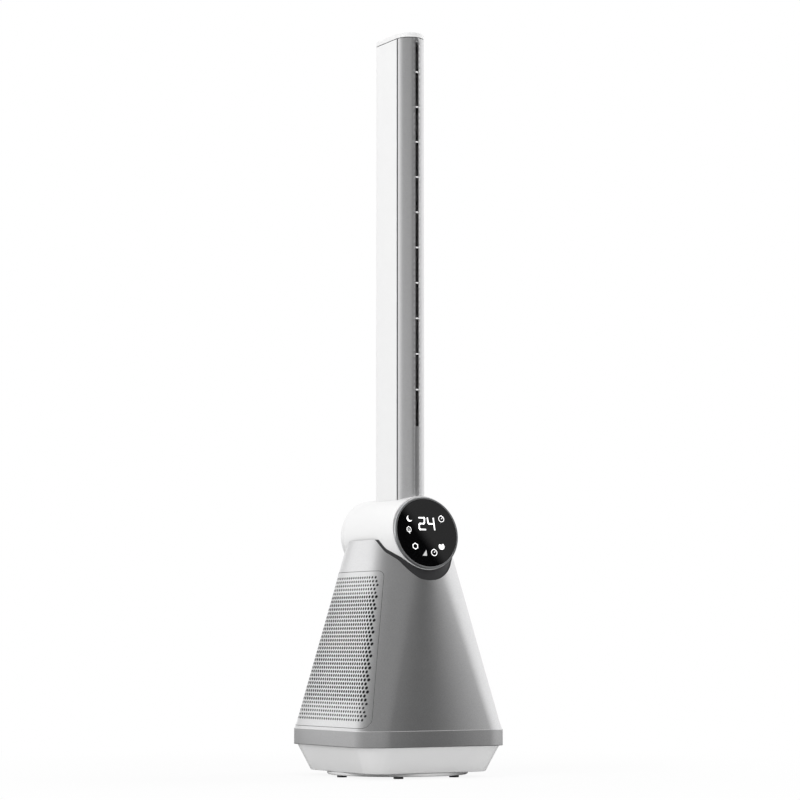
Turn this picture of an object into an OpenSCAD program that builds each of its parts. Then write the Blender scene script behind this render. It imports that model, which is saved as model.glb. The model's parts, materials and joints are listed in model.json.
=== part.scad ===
// Bladeless tower fan with a round display on the front of its neck.
// The stand stays on the floor, and all that is above it swings from side to side.
// Millimetres, origin on the floor under the swing axis, +Z up, display towards -Y.

/* [Stand] */
// Radius of a rubber foot
foot_r = 6; // [4:0.5:7]
// Height of a foot below the stand disc
foot_h = 2.4; // [2:0.2:4]
// Distance of the feet's centres from the rim of the stand disc
foot_inset = 8; // [7:0.5:10]
// Number of feet
foot_count = 6; // [4:1:8]
// Reach of the stand disc beyond the skirt's foot
disc_reach = 1.5; // [0.5:0.1:3]
// Thickness of the stand disc at its rim
disc_t = 3.6; // [3.2:0.2:5]
// Width of the disc's rim round the raised drum
drum_edge = 15.4; // [14:0.2:18]
// Height of the drum above the rim
drum_rise = 6.5; // [6:0.5:8]
// Thickness of the steel ballast plate under the drum
ballast_t = 6; // [4:0.5:6]

/* [Swing] */
// Largest swing to each side, in degrees
swing_limit = 40; // [25:1:45]
// Radius of the spindle that the tower turns on
spindle_r = 11; // [9:0.5:12]
// Teeth of the fixed gear
gear_teeth = 40; // [38:2:44]
// Teeth of the motor's pinion
pinion_teeth = 12; // [10:1:14]
// Tooth module of both gears
gear_module = 1; // [0.9:0.05:1.1]
// Width of the fixed gear's teeth
gear_t = 6; // [5:0.5:7]

/* [Skirt] */
// Step of the white skirt's upper edge in from the silver band
skirt_step = 3.5; // [2:0.1:5]
// Flare of the skirt from its lower edge to its upper one
skirt_flare = 14.6; // [10:0.1:16]
// Corner radius of the skirt at its lower edge
skirt_low_corner_r = 25; // [20:1:30]
// Height of the skirt
skirt_h = 31.8; // [28:0.2:36]

/* [Body] */
// Half width of the body just above the band
body_low_half = 103; // [98:0.5:110]
// Step of the silver band out from the body
band_step = 1; // [0.5:0.1:2]
// Height of the silver band
band_h = 20; // [18:0.5:24]
// Half width of the body at the tips of its two lobes
body_top_half_w = 51.6; // [50:0.2:53]
// Half depth of the body at the height of its lobe tips
body_top_half_d = 70.8; // [68:0.2:72]
// Height of the body from the band to its lobe tips
body_h = 232.5; // [226:0.5:240]
// Corner radius of the body just above the band
corner_r = 33; // [28:1:36]
// Corner radius of the body at its lobe tips
body_top_corner_r = 47.4; // [42:0.2:48]
// Wall of the moulded shells
wall = 2.5; // [2:0.1:3]

/* [Grilles] */
// Height of the panel's lower edge above the band
panel_rise = 3.5; // [3:0.5:6]
// Distance of the panel's upper edge below the lobe tips
panel_drop = 39.4; // [37:0.2:50]
// Distance of the panel's foot from the body's front and rear faces
panel_low_edge = 9.4; // [8:0.2:14]
// Distance of the panel's top from the body's front and rear faces
panel_top_edge = 20.06; // [16:0.02:24]
// Corner radius of the panel
panel_corner_r = 9; // [6:0.5:12]
// Diameter of a hole
hole_d = 3.3; // [2.6:0.1:3.8]
// Distance between two holes in a row
hole_pitch = 5.53; // [5.2:0.01:6.5]
// Distance of the outermost holes from the panel's slanted edges
field_margin = 6.1; // [5:0.1:9]
// Height of the lowest row above the panel's foot
row_rise = 9.6; // [8:0.1:12]
// Rows of blind dimples above and below the holes
dimple_rows = 5; // [2:1:6]

/* [Neck] */
// Radius of the round neck
neck_r = 45.8; // [44:0.2:47]
// Height of the neck's axis above the lobe tips
neck_lift = 8; // [6:0.5:12]
// Distance of the neck's rear end in from the body's depth at the lobe tips
neck_rear_inset = 4.8; // [2:0.2:8]
// Distance of the neck's front end in from the body's depth at the lobe tips
neck_front_inset = 4.6; // [3:0.2:7]
// Swell of the neck's widest part, in radius
swell = 2.2; // [1:0.1:2.6]
// Drop of the axis of the widest part
swell_drop = 4; // [2.6:0.2:5]
// Half length of the widest part
swell_half = 50; // [30:1:54]
// Clearance of the saddle that the body's top is cut to
saddle_gap = 5.2; // [4:0.1:6]
// Height of the neck's axis above the saddle's own axis
saddle_drop = 7.5; // [6:0.5:9]

/* [Display] */
// Step of the silver ring in from the neck
ring_inset = 0.8; // [0.4:0.1:1.4]
// Width of the silver ring round the glass
ring_w = 2.4; // [2:0.1:4]
// Depth of the silver ring
ring_t = 3.7; // [3:0.1:4.4]
// Backward tilt of the glass, in degrees
glass_tilt = 10.5; // [8:0.1:12]
// Thickness of the glass
glass_t = 1.8; // [1.4:0.1:2.2]

/* [Column] */
// Half width of the column
column_half = 18.6; // [17:0.2:20]
// Distance of the nose's centre in front of the swing axis
nose_reach = 28.6; // [27:0.2:29.6]
// Distance of the rear round's centre behind the swing axis
tail_reach = 17; // [14:0.5:20]
// Height of the column above the neck's axis, without its cap
column_h = 626.5; // [560:0.5:680]
// Height of the white cap
cap_h = 8; // [7:0.5:12]
// Width of the raised nozzle strip
strip_w = 10; // [9:0.2:11]
// Width of the air slot
slot_w = 3.5; // [2.5:0.1:4.5]
// Height of the slot's lower end above the neck's axis
slot_rise = 133.3; // [110:0.5:160]
// Distance of the slot's upper end below the column's top
slot_margin = 2.4; // [2:0.2:6]
// Distance between two ribs in the slot
rib_pitch = 44.8; // [38:0.2:52]
// Height of the lowest rib above the slot's lower end
rib_rise = 46; // [36:0.5:50]
// Thickness of a rib
rib_t = 1.8; // [1.4:0.1:2.4]

/* [Fan unit] */
// Room between the duct's flange and the body's wall
duct_room = 5.1; // [4:0.1:7]
// Rounding radius of the duct's mouth
mouth_r = 10; // [8:0.5:11]
// Wall of the duct
duct_wall = 2; // [1.6:0.1:2.4]
// Number of impeller blades
blade_count = 9; // [7:1:11]
// Number of diffuser vanes
vane_count = 7; // [5:1:9]
// Width of the air gap round the diffuser's hub
air_w = 16; // [14:0.5:17]
// Height of the impeller's blades
blade_h = 40; // [34:1:42]

/* [Power inlet] */
// Width of the inlet's flange
inlet_w = 30; // [28:0.5:34]
// Height of the inlet's flange
inlet_h = 22; // [20:0.5:26]
// Height of the inlet's middle above the band
inlet_rise = 23.5; // [20:0.5:30]

/* [Fits] */
// Radial clearance of a shaft or spindle in its bearing
run_gap = 0.05; // [0.03:0.01:0.08]
// Radial clearance of a pin or boss in its seat
seat_gap = 0.02; // [0.01:0.01:0.04]
// Clearance between a shell and what slides into it
slip_gap = 0.15; // [0.1:0.05:0.3]
// Clearance between the stand and the swinging tower
turn_gap = 0.3; // [0.3:0.05:0.5]
// Width of a visible seam
seam_gap = 0.4; // [0.3:0.05:0.6]

/* [Hidden] */
$fn = 96;

// Overrun of a cut beyond the faces that it opens
cut = 1;
// Thickness of the slices that a tapered shell is stretched between
slice_t = 0.01;
// Segments of the rounded corners of a stretched shell
shell_fn = 32;

// Half widths of the band, of the skirt and of the disc under them
band_half = body_low_half + band_step;
skirt_top_half = band_half - skirt_step;
skirt_low_half = skirt_top_half - skirt_flare;
disc_r = skirt_low_half + disc_reach;
drum_r = disc_r - drum_edge;
foot_ring_r = disc_r - foot_inset;

// Heights of the stand
disc_z = foot_h;
rim_z = disc_z + disc_t;
drum_z = rim_z + drum_rise;
skin_t = 3;
ballast_z = drum_z - skin_t - ballast_t;
drum_wall = 6;
ballast_r = drum_r - drum_wall;
ballast_hole_r = 22;
ballast_screw_count = 4;
ballast_screw_angle = 45;
rim_round_r = 2;
foot_stem_r = 3.2;
foot_stem_h = 2;
glide_t = 1.2;
glide_edge = 2;
glide_w = 7;
glide_out_r = drum_r - glide_edge;
glide_in_r = glide_out_r - glide_w;

// Screws: shank and head radius, head height, and the room round a shank in a clearance hole
screw_r = 1.6;
screw_head_r = 3;
screw_head_h = 2.4;
screw_room = 0.2;
small_screw_r = 1.25;
small_head_r = 2.3;
small_head_h = 1.4;
flat_head_h = 0.9;
screw_tip_room = 0.5;

// Spindle, its flange and what it carries
spindle_flange_r = 18;
spindle_flange_t = 3;
spindle_recess = 2;
spindle_screw_ring_r = 14.5;
spindle_screw_count = 3;
boss_wall = 4;
boss_h = 8;
washer_t = 1.2;
nut_t = 4;
nut_wall = 4;
spindle_lead = 1;

// Floor of the base pan
skirt_gap = 0.7;
skirt_z = rim_z + skirt_gap;
band_z = skirt_z + skirt_h;
body_z = band_z + band_h;
floor_t = 2.5;
floor_z = drum_z + glide_t + turn_gap;
floor_top_z = floor_z + floor_t;
boss_top_z = floor_z + boss_h;
washer_z = boss_top_z + turn_gap;
gear_z = washer_z + washer_t;
nut_z = gear_z + gear_t;
spindle_top_z = nut_z + nut_t + spindle_lead;
spindle_z = drum_z - spindle_recess;

// Swing stop: a lug on the drum in an arc slot of the pan's floor
stop_edge = 7;
stop_ring_r = glide_in_r - stop_edge;
stop_r = 4;
stop_room = 0.4;
stop_short = 0.5;
stop_h = glide_t + turn_gap + floor_t - stop_short;

// Swing drive
gear_pitch_r = gear_module * gear_teeth / 2;
pinion_pitch_r = gear_module * pinion_teeth / 2;
gear_backlash = 0.1;
pressure_angle = 20;
tooth_rise_share = 0.75;
tooth_depth_share = 1;
flank_steps = 4;
drive_reach = gear_pitch_r + pinion_pitch_r;
pinion_side_gap = 0.5;
pinion_shaft_r = 2.5;
drive_room = 0.5;
drive_z = spindle_top_z + drive_room;
drive_offset = 9;
drive_r = 21;
drive_h = 17;
drive_ear_t = 1.5;
drive_ear_reach = 28;
drive_ear_r = 4.5;
drive_bore_h = 2.6;
drive_screw_len = 9;
drive_x = drive_reach + drive_offset;

// Pillars of the pan, and screws up into the chassis
pillar_inset = 23.9;
pillar_at = skirt_low_half - pillar_inset;
pillar_r = 5.5;
pillar_bore_r = 3.4;
pillar_land = 7;
base_screw_len = 14;
chassis_boss_r = 5;
chassis_boss_h = 8;
chassis_t = 2.5;
chassis_z = body_z;
chassis_top_z = chassis_z + chassis_t;
boss_inset = 10;
body_boss_x = body_low_half - corner_r - boss_inset;
body_boss_r = 6;
body_boss_h = 26;
body_screw_len = 14.5;
pilot_extra = 1;

// Ledge inside the band that sits on the skirt's rim
ledge_t = 2.5;
ledge_in = 10;
ledge_half = band_half - ledge_in;
band_corner_r = corner_r + band_half - body_low_half;
skirt_top_corner_r = corner_r;
body_top_z = body_z + body_h;

// Grille rows lie at the height of an even triangle
row_pitch = hole_pitch * sqrt(3) / 2;
panel_z = body_z + panel_rise;
panel_top_z = body_top_z - panel_drop;
panel_h = panel_top_z - panel_z;
panel_low_half = body_half_d(panel_z) - panel_low_edge;
panel_top_half = body_half_d(panel_top_z) - panel_top_edge;
row_margin = 7;
row_count = floor((panel_h - row_rise - row_margin) / row_pitch) + 1;
row_low_z = panel_z + row_rise;
panel_recess = 0.2;
panel_seam = 0.3;

// Duct mounts
post_gap = 2.9;
post_r = 5;
post_h = 29;
mount_h = 6;
mount_r = 7;
ear_t = 2;
ear_r = 8;
duct_screw_len = 22;
duct_z = chassis_top_z + post_h + mount_h;
duct_flange_w = 6;
duct_flange_t = 3;
gasket_t = 2;

// Neck
neck_z = body_top_z + neck_lift;
neck_rear = body_top_half_d - neck_rear_inset;
neck_front = body_top_half_d - neck_front_inset;
saddle_z = neck_z - saddle_drop;
saddle_r = neck_r + saddle_gap;
neck_wall = 2.5;
neck_in_r = neck_r - neck_wall;
rear_cap_t = 6;
rear_cap_round = 3;
rear_cap_lip = 6;
collar_depth = 17.2;
collar_drop = neck_r + collar_depth;
collar_z = neck_z - collar_drop;
collar_inset = 1;
collar_floor_t = 3;
collar_wall = 2.4;
collar_port_r = 4;
collar_port_x = 16;
collar_port_gap = 8;
duct_top_z = collar_z - gasket_t;
duct_flange_r = body_half_w(duct_top_z) - wall - duct_room;
duct_r = duct_flange_r - duct_flange_w;
post_at = (duct_r + mouth_r + post_gap) / sqrt(2);
hub_r = duct_r - air_w;
airway_step = 1;
airway_low_r = duct_r - airway_step;
airway_inset = 7.3;
airway_top_r = neck_in_r - airway_inset;
airway_wall = 2.4;
airway_short = 27;
airway_h = collar_drop - airway_short;
bulkhead_t = 2;
bulkhead_gap = 0.3;

// Impeller and motor
impeller_lift = 8;
impeller_z = duct_z + impeller_lift;
impeller_gap = 0.6;
blade_t = 1.6;
blade_twist = 48;
blade_lift = 2;
impeller_hub_low_r = 16;
impeller_hub_h = blade_h + 2 * blade_lift;
impeller_skin = 3;
impeller_boss_r = 8;
impeller_boss_lead = 5;
impeller_boss_h = impeller_hub_h + impeller_boss_lead;
shaft_r = 3;
shaft_lead = 5;
shaft_nut_h = 4;
shaft_nut_r = 5.5;
hub_wall = 2;
hub_in_r = hub_r - hub_wall;
rotor_z = impeller_z + impeller_boss_h;
rotor_room = 8;
rotor_r = hub_in_r - rotor_room;
rotor_wall = 3.2;
rotor_plate_t = 2.5;
rotor_h = 25;
air_gap = 0.8;
stator_r = rotor_r - rotor_wall - air_gap;
stator_gap = 2;
stator_z = rotor_z + rotor_plate_t + stator_gap;
stator_h = 18.5;
rotor_gap = 1;
stator_base_z = rotor_z + rotor_h + rotor_gap;
stator_base_t = 3;
stator_tube_wall = 2.4;
bearing_r = 8;
bearing_h = 6;
stator_slots = 9;
stator_slot_w = 2.4;
hub_gap = 2;
hub_z = impeller_z + impeller_hub_h + hub_gap;
hub_cone_h = 22;
hub_cone_r = 9;
hub_flange_t = 3;
hub_flange_z = stator_base_z + stator_base_t;
hub_room = 20;
hub_h = hub_flange_z + hub_flange_t + hub_room - hub_z;
vane_t = 1.6;
vane_lift = 12;
vane_short = 3;
vane_h = hub_h - vane_lift - vane_short;
vane_twist = 24;
motor_screw_ring_r = (hub_in_r + rotor_r) / 2;
motor_screw_len = 5;
motor_screw_count = 3;
motor_screw_angle = 30;

// Display parts, measured back from the front of the glass
ring_r = neck_r - ring_inset;
glass_r = ring_r - ring_w;
glass_inset = 0.2;
glass_seat = 0.1;
groove_w = 0.8;
spigot_room = 1.5;
spigot_r = neck_in_r - spigot_room;
spigot_h = 5.3;
spigot_wall = 1.6;
mask_t = 1.3;
mask_gap = 0.2;
mask_r = spigot_r - spigot_wall - mask_gap;
board_t = 1.6;
glass_reach = neck_front + ring_t + groove_w;

// Column
column_wall = 2;
socket_wall = 3;
column_screw_lift = 2.5;
column_screw_len = 6;
screw_head_room = 1.8;
screw_reach = column_half + slip_gap + socket_wall + small_head_h;
column_screw_z = neck_z + sqrt(pow(neck_in_r, 2) - pow(screw_reach, 2)) - small_head_r - screw_head_room;
column_foot_z = column_screw_z - column_screw_lift;
column_top_z = neck_z + column_h;
seal_t = 1;
seal_inset = 0.5;
cap_z = column_top_z + seal_t;
cap_round = 3;
cap_lip = 6;
cap_lip_wall = 2;
front_wall = 3;
strip_raise = 0.6;
strip_depth = 1.5;
slot_z = neck_z + slot_rise;
slot_top_z = column_top_z - slot_margin;
slot_h = slot_top_z - slot_z;
rib_count = floor((slot_h - rib_rise - rib_t / 2) / rib_pitch) + 1;
socket_ledge_t = 3;
socket_ledge_in = 3;
socket_h = 15;
guide_t = 1.2;
guide_mouth_half = 2.6;
guide_back_half = 14.5;
guide_depth = 17;
guide_gap = 0.3;
guide_low = 12;

// Inlet
inlet_z = body_z + inlet_rise;
inlet_rim = 3;
inlet_body_w = inlet_w - 2 * inlet_rim;
inlet_body_h = inlet_h - 2 * inlet_rim;
inlet_depth = 26;
inlet_flange_t = 2;
inlet_pocket_r = 4.4;
inlet_pocket_half = 4;
inlet_pocket_depth = 14;
inlet_pin_r = 1.2;
inlet_pin_half = 4.3;
inlet_pin_len = 12;
inlet_pin_root = 10;
inlet_lean = atan((body_low_half - body_top_half_d) / body_h);

// Power board in the base
board_gap = 1.2;
board_room = 8.4;
board_near_x = gear_pitch_r + gear_module + board_gap;
board_half_x = (skirt_low_half - wall - board_room - board_near_x) / 2;
board_x = -board_near_x - board_half_x;
board_half_y = 32;
board_lift = 6;
board_post_r = 3;
board_edge = 4;
coil_w = 18;
coil_h = 14;
cap_can_r = 5;
cap_can_h = 13;

// Colours
white = [0.93, 0.93, 0.93];
silver = [0.62, 0.63, 0.64];
dark_grey = [0.25, 0.25, 0.26];
black = [0.05, 0.05, 0.06];
steel = [0.72, 0.73, 0.75];
rubber = [0.12, 0.12, 0.12];
board_green = [0.1, 0.35, 0.2];
brass = [0.8, 0.66, 0.32];

// Share of the way from one value to another
function blend(from, to, share) = from + (to - from) * share;

// Half widths of the tapered body at a height
function body_share(z) = (z - body_z) / body_h;
function body_half_w(z) = blend(body_low_half, body_top_half_w, body_share(z));
function body_half_d(z) = blend(body_low_half, body_top_half_d, body_share(z));
function body_corner(z) = blend(corner_r, body_top_corner_r, body_share(z));
body_boss_y = body_half_d(chassis_top_z) - wall - body_boss_r;
function skirt_share(z) = (z - skirt_z) / skirt_h;
function skirt_half(z) = blend(skirt_low_half, skirt_top_half, skirt_share(z));
function skirt_corner(z) = blend(skirt_low_corner_r, skirt_top_corner_r, skirt_share(z));

// Points of the arc that rounds the corner "here" between its two neighbours
function unit_to(a, b) = (b - a) / norm(b - a);
function turn_of(v) = atan2(v[1], v[0]);
function corner_arc(before, here, after, r, steps) =
    let (to_before = unit_to(here, before))
    let (to_after = unit_to(here, after))
    let (half_turn = acos(to_before * to_after) / 2)
    let (middle = here + unit_to([0, 0], to_before + to_after) * r / sin(half_turn))
    let (first = turn_of(here + to_before * r / tan(half_turn) - middle))
    let (last = turn_of(here + to_after * r / tan(half_turn) - middle))
    let (raw = last - first)
    let (sweep = raw > 180 ? raw - 360 : raw < -180 ? raw + 360 : raw)
    [for (i = [0:steps]) middle + r * [cos(first + sweep * i / steps), sin(first + sweep * i / steps)]];

// Outline through the given corners, each rounded by the same radius
function rounded_outline(corners, r, steps) =
    let (n = len(corners))
    [for (k = [0:n - 1])
        for (p = corner_arc(corners[(k + n - 1) % n], corners[k], corners[(k + 1) % n], r, steps)) p];

// Four corner places, mirrored in X and Y
module at_four(x, y) {
    for (sx = [-1, 1])
        for (sy = [-1, 1])
            translate([sx * x, sy * y, 0])
                children();
}

// Places round the Z axis
module on_ring(r, count, start) {
    for (k = [0:count - 1])
        rotate([0, 0, start + 360 * k / count])
            translate([r, 0, 0])
                children();
}

// A screw that points up, with its head below z = 0
module screw_up(r, length, head_r, head_h) {
    translate([0, 0, -head_h])
        cylinder(r = head_r, h = head_h, $fn = 32);
    cylinder(r = r, h = length, $fn = 32);
}

// A thin slice of a rounded rectangle at a height, for stretching
module slice(z, half_w, half_d, r) {
    translate([0, 0, z])
        at_four(half_w - r, half_d - r)
            cylinder(r = r, h = slice_t, $fn = shell_fn);
}

// Flat rounded rectangle of exact arcs
module rounded_rect(half_w, half_d, r) {
    square([2 * half_w - 2 * r, 2 * half_d], center = true);
    square([2 * half_w, 2 * half_d - 2 * r], center = true);
    at_four(half_w - r, half_d - r)
        circle(r = r);
}

// Solid of the white skirt between two heights, drawn in by inset
module skirt_solid(z0, z1, inset) {
    hull() {
        slice(z0, skirt_half(z0) - inset, skirt_half(z0) - inset, skirt_corner(z0) - inset);
        slice(z1 - slice_t, skirt_half(z1) - inset, skirt_half(z1) - inset, skirt_corner(z1) - inset);
    }
}

// Solid of the tapered body between two heights, drawn in by inset
module body_solid(z0, z1, inset) {
    hull() {
        slice(z0, body_half_w(z0) - inset, body_half_d(z0) - inset, body_corner(z0) - inset);
        slice(z1 - slice_t, body_half_w(z1) - inset, body_half_d(z1) - inset, body_corner(z1) - inset);
    }
}

// Cylinder along the neck, centred at a height
module along_neck(z, r, y0, y1) {
    translate([0, y1, z])
        rotate([90, 0, 0])
            cylinder(r = r, h = y1 - y0);
}

// Solid of the neck, which swells behind the display, grown by extra
module neck_solid(extra, y0, y1) {
    along_neck(neck_z, neck_r + extra, y0, y1);
    hull() {
        along_neck(neck_z, neck_r + extra, -neck_front, neck_rear - rear_cap_t);
        along_neck(neck_z - swell_drop, neck_r + swell + extra, -swell_half, swell_half);
    }
}

// The display's own frame: its face in the XY plane, +Z pointing back into the neck
module on_display() {
    translate([0, -glass_reach, neck_z])
        rotate([-90 - glass_tilt, 0, 0])
            children();
}

// Plan of the column, drawn in by inset
module column_plan(inset) {
    translate([0, -nose_reach])
        circle(r = column_half - inset);
    translate([0, tail_reach])
        circle(r = column_half - inset);
    translate([-column_half + inset, -nose_reach])
        square([2 * (column_half - inset), nose_reach + tail_reach]);
}

// Involute flank: the angle by which it has turned away at a pressure angle, in degrees
function involute(angle) = tan(angle) * 180 / PI - angle;

// Half of a tooth's angle at radius r
function tooth_half(r, pitch_r, teeth) =
    let (base_r = pitch_r * cos(pressure_angle))
    let (half_at_pitch = (90 / teeth) - gear_backlash * 45 / PI / pitch_r)
    half_at_pitch + involute(pressure_angle) - involute(acos(min(1, base_r / r)));

// Tooth outline of a spur gear with shortened involute teeth
module gear_plan(teeth, pitch_r) {
    root_r = pitch_r - tooth_depth_share * gear_module;
    tip_r = pitch_r + tooth_rise_share * gear_module;
    start_r = max(root_r, pitch_r * cos(pressure_angle));
    radii = [for (k = [0:flank_steps]) blend(start_r, tip_r, k / flank_steps)];
    low = [for (r = radii) [r, -tooth_half(r, pitch_r, teeth)]];
    high = [for (k = [0:flank_steps]) [radii[flank_steps - k], -low[flank_steps - k][1]]];
    root = [[root_r, low[0][1]], [root_r, -low[0][1]]];
    tooth = concat(root_r < start_r ? [root[0]] : [], low, high, root_r < start_r ? [root[1]] : []);
    polygon([for (k = [0:teeth - 1])
        for (p = tooth)
            p[0] * [cos(360 * k / teeth + p[1]), sin(360 * k / teeth + p[1])]]);
}

module rubber_feet() {
    color(rubber)
        on_ring(foot_ring_r, foot_count, 0) {
            cylinder(r = foot_r, h = foot_h);
            translate([0, 0, foot_h])
                cylinder(r = foot_stem_r, h = foot_stem_h);
        }
}

module stand_disc() {
    color(white)
        difference() {
            union() {
                rotate_extrude() {
                    translate([0, disc_z + rim_round_r])
                        square([disc_r, disc_t - rim_round_r]);
                    translate([0, disc_z])
                        square([disc_r - rim_round_r, rim_round_r]);
                    translate([disc_r - rim_round_r, disc_z + rim_round_r])
                        circle(r = rim_round_r);
                    translate([0, rim_z])
                        square([drum_r, drum_rise]);
                }
                translate([0, stop_ring_r, drum_z])
                    cylinder(r = stop_r, h = stop_h);
            }
            difference() {
                translate([0, 0, disc_z - cut])
                    cylinder(r = ballast_r + slip_gap, h = ballast_z + ballast_t - disc_z + cut);
                translate([0, 0, disc_z - 2 * cut])
                    cylinder(r = ballast_hole_r - slip_gap, h = drum_z);
            }
            translate([0, 0, spindle_z])
                cylinder(r = spindle_flange_r + slip_gap, h = spindle_recess + cut);
            on_ring(foot_ring_r, foot_count, 0)
                translate([0, 0, disc_z - cut])
                    cylinder(r = foot_stem_r + seat_gap, h = foot_stem_h + cut);
            on_ring(spindle_screw_ring_r, spindle_screw_count, 0) {
                translate([0, 0, disc_z - cut])
                    cylinder(r = screw_r + screw_room, h = spindle_z);
                translate([0, 0, disc_z - cut])
                    cylinder(r = screw_head_r + screw_room, h = screw_head_h + cut);
            }
            on_ring((ballast_r + ballast_hole_r) / 2, ballast_screw_count, ballast_screw_angle)
                translate([0, 0, ballast_z])
                    cylinder(r = screw_r + seat_gap, h = ballast_t + skin_t - pilot_extra);
        }
}

module ballast_plate() {
    color(steel)
        translate([0, 0, ballast_z])
            difference() {
                cylinder(r = ballast_r, h = ballast_t);
                translate([0, 0, -cut])
                    cylinder(r = ballast_hole_r, h = ballast_t + 2 * cut);
                on_ring((ballast_r + ballast_hole_r) / 2, ballast_screw_count, ballast_screw_angle)
                    translate([0, 0, -cut])
                        cylinder(r = screw_r + screw_room, h = ballast_t + 2 * cut);
            }
}

module ballast_screws() {
    color(steel)
        on_ring((ballast_r + ballast_hole_r) / 2, ballast_screw_count, ballast_screw_angle)
            translate([0, 0, ballast_z])
                screw_up(screw_r, ballast_t + skin_t - pilot_extra - screw_tip_room, screw_head_r, flat_head_h);
}

module swivel_spindle() {
    color(steel)
        difference() {
            union() {
                translate([0, 0, spindle_z])
                    cylinder(r = spindle_flange_r, h = spindle_flange_t);
                translate([0, 0, spindle_z])
                    cylinder(r = spindle_r, h = spindle_top_z - spindle_z);
            }
            on_ring(spindle_screw_ring_r, spindle_screw_count, 0)
                translate([0, 0, spindle_z - cut])
                    cylinder(r = screw_r + seat_gap, h = spindle_flange_t + 2 * cut);
        }
}

module spindle_screws() {
    color(steel)
        on_ring(spindle_screw_ring_r, spindle_screw_count, 0)
            translate([0, 0, disc_z + screw_head_h])
                screw_up(screw_r, spindle_z + spindle_flange_t - disc_z - screw_head_h, screw_head_r,
                    screw_head_h);
}

module glide_ring() {
    color(white)
        translate([0, 0, drum_z])
            difference() {
                cylinder(r = glide_out_r, h = glide_t);
                translate([0, 0, -cut])
                    cylinder(r = glide_in_r, h = glide_t + 2 * cut);
            }
}

module spindle_washer() {
    color(steel)
        translate([0, 0, washer_z])
            difference() {
                cylinder(r = spindle_r + boss_wall, h = washer_t);
                translate([0, 0, -cut])
                    cylinder(r = spindle_r + seat_gap, h = washer_t + 2 * cut);
            }
}

module swivel_gear() {
    color(white)
        translate([0, 0, gear_z])
            difference() {
                linear_extrude(gear_t)
                    gear_plan(gear_teeth, gear_pitch_r);
                translate([0, 0, -cut])
                    cylinder(r = spindle_r + seat_gap, h = gear_t + 2 * cut);
            }
}

module spindle_nut() {
    color(steel)
        translate([0, 0, nut_z])
            difference() {
                cylinder(r = spindle_r + nut_wall, h = nut_t, $fn = 6);
                translate([0, 0, -cut])
                    cylinder(r = spindle_r + seat_gap, h = nut_t + 2 * cut);
            }
}

// Arc slot for the swing stop
module stop_slot() {
    slot_half = stop_r + stop_room;
    rotate([0, 0, 90 - swing_limit])
        rotate_extrude(angle = 2 * swing_limit)
            translate([stop_ring_r - slot_half, floor_z - cut])
                square([2 * slot_half, floor_t + 2 * cut]);
    for (side = [-1, 1])
        rotate([0, 0, side * swing_limit])
            translate([0, stop_ring_r, floor_z - cut])
                cylinder(r = slot_half, h = floor_t + 2 * cut);
}

module base_pan() {
    color(white)
        difference() {
            union() {
                difference() {
                    skirt_solid(skirt_z, band_z, 0);
                    skirt_solid(skirt_z - cut, floor_z, wall);
                    skirt_solid(floor_top_z, band_z + cut, wall);
                }
                translate([0, 0, floor_z])
                    cylinder(r = spindle_r + boss_wall, h = boss_h);
                at_four(pillar_at, pillar_at)
                    translate([0, 0, floor_z])
                        cylinder(r = pillar_r, h = chassis_z - floor_z);
                for (side = [-1, 1])
                    translate([drive_x, side * drive_ear_reach, floor_z])
                        cylinder(r = drive_ear_r, h = drive_z - floor_z);
                translate([board_x, 0, floor_z])
                    at_four(board_half_x - board_edge, board_half_y - board_edge)
                        cylinder(r = board_post_r, h = floor_t + board_lift);
            }
            translate([0, 0, floor_z - cut])
                cylinder(r = spindle_r + run_gap, h = boss_h + 2 * cut);
            at_four(pillar_at, pillar_at) {
                translate([0, 0, floor_z - cut])
                    cylinder(r = pillar_bore_r, h = chassis_z - pillar_land - floor_z + cut);
                translate([0, 0, floor_z])
                    cylinder(r = screw_r + screw_room, h = chassis_z - floor_z + cut);
            }
            for (side = [-1, 1])
                translate([drive_x, side * drive_ear_reach, drive_z - drive_screw_len])
                    cylinder(r = small_screw_r + seat_gap, h = drive_screw_len + cut);
            stop_slot();
        }
}

module base_screws() {
    color(steel)
        at_four(pillar_at, pillar_at)
            translate([0, 0, chassis_z - pillar_land])
                screw_up(screw_r, base_screw_len, screw_head_r, screw_head_h);
}

module swivel_motor() {
    color(steel)
        difference() {
            union() {
                translate([drive_x, 0, drive_z])
                    cylinder(r = drive_r, h = drive_h);
                hull()
                    for (side = [-1, 1])
                        translate([drive_x, side * drive_ear_reach, drive_z])
                            cylinder(r = drive_ear_r, h = drive_ear_t, $fn = shell_fn);
            }
            translate([drive_reach, 0, drive_z - cut])
                cylinder(r = pinion_shaft_r + run_gap, h = drive_bore_h + cut);
            for (side = [-1, 1])
                translate([drive_x, side * drive_ear_reach, drive_z - cut])
                    cylinder(r = small_screw_r + screw_room, h = drive_ear_t + 2 * cut);
        }
}

module swivel_motor_screws() {
    color(steel)
        for (side = [-1, 1])
            translate([drive_x, side * drive_ear_reach, drive_z + drive_ear_t])
                rotate([180, 0, 0])
                    screw_up(small_screw_r, drive_screw_len, small_head_r, small_head_h);
}

module swivel_pinion() {
    color(brass) {
        translate([drive_reach, 0, gear_z + pinion_side_gap])
            rotate([0, 0, 180 / pinion_teeth * (1 - pinion_teeth % 2)])
                linear_extrude(gear_t - 2 * pinion_side_gap)
                    gear_plan(pinion_teeth, pinion_pitch_r);
        translate([drive_reach, 0, gear_z + pinion_side_gap])
            cylinder(r = pinion_shaft_r, h = drive_z + drive_bore_h - run_gap - gear_z - pinion_side_gap);
    }
}

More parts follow.
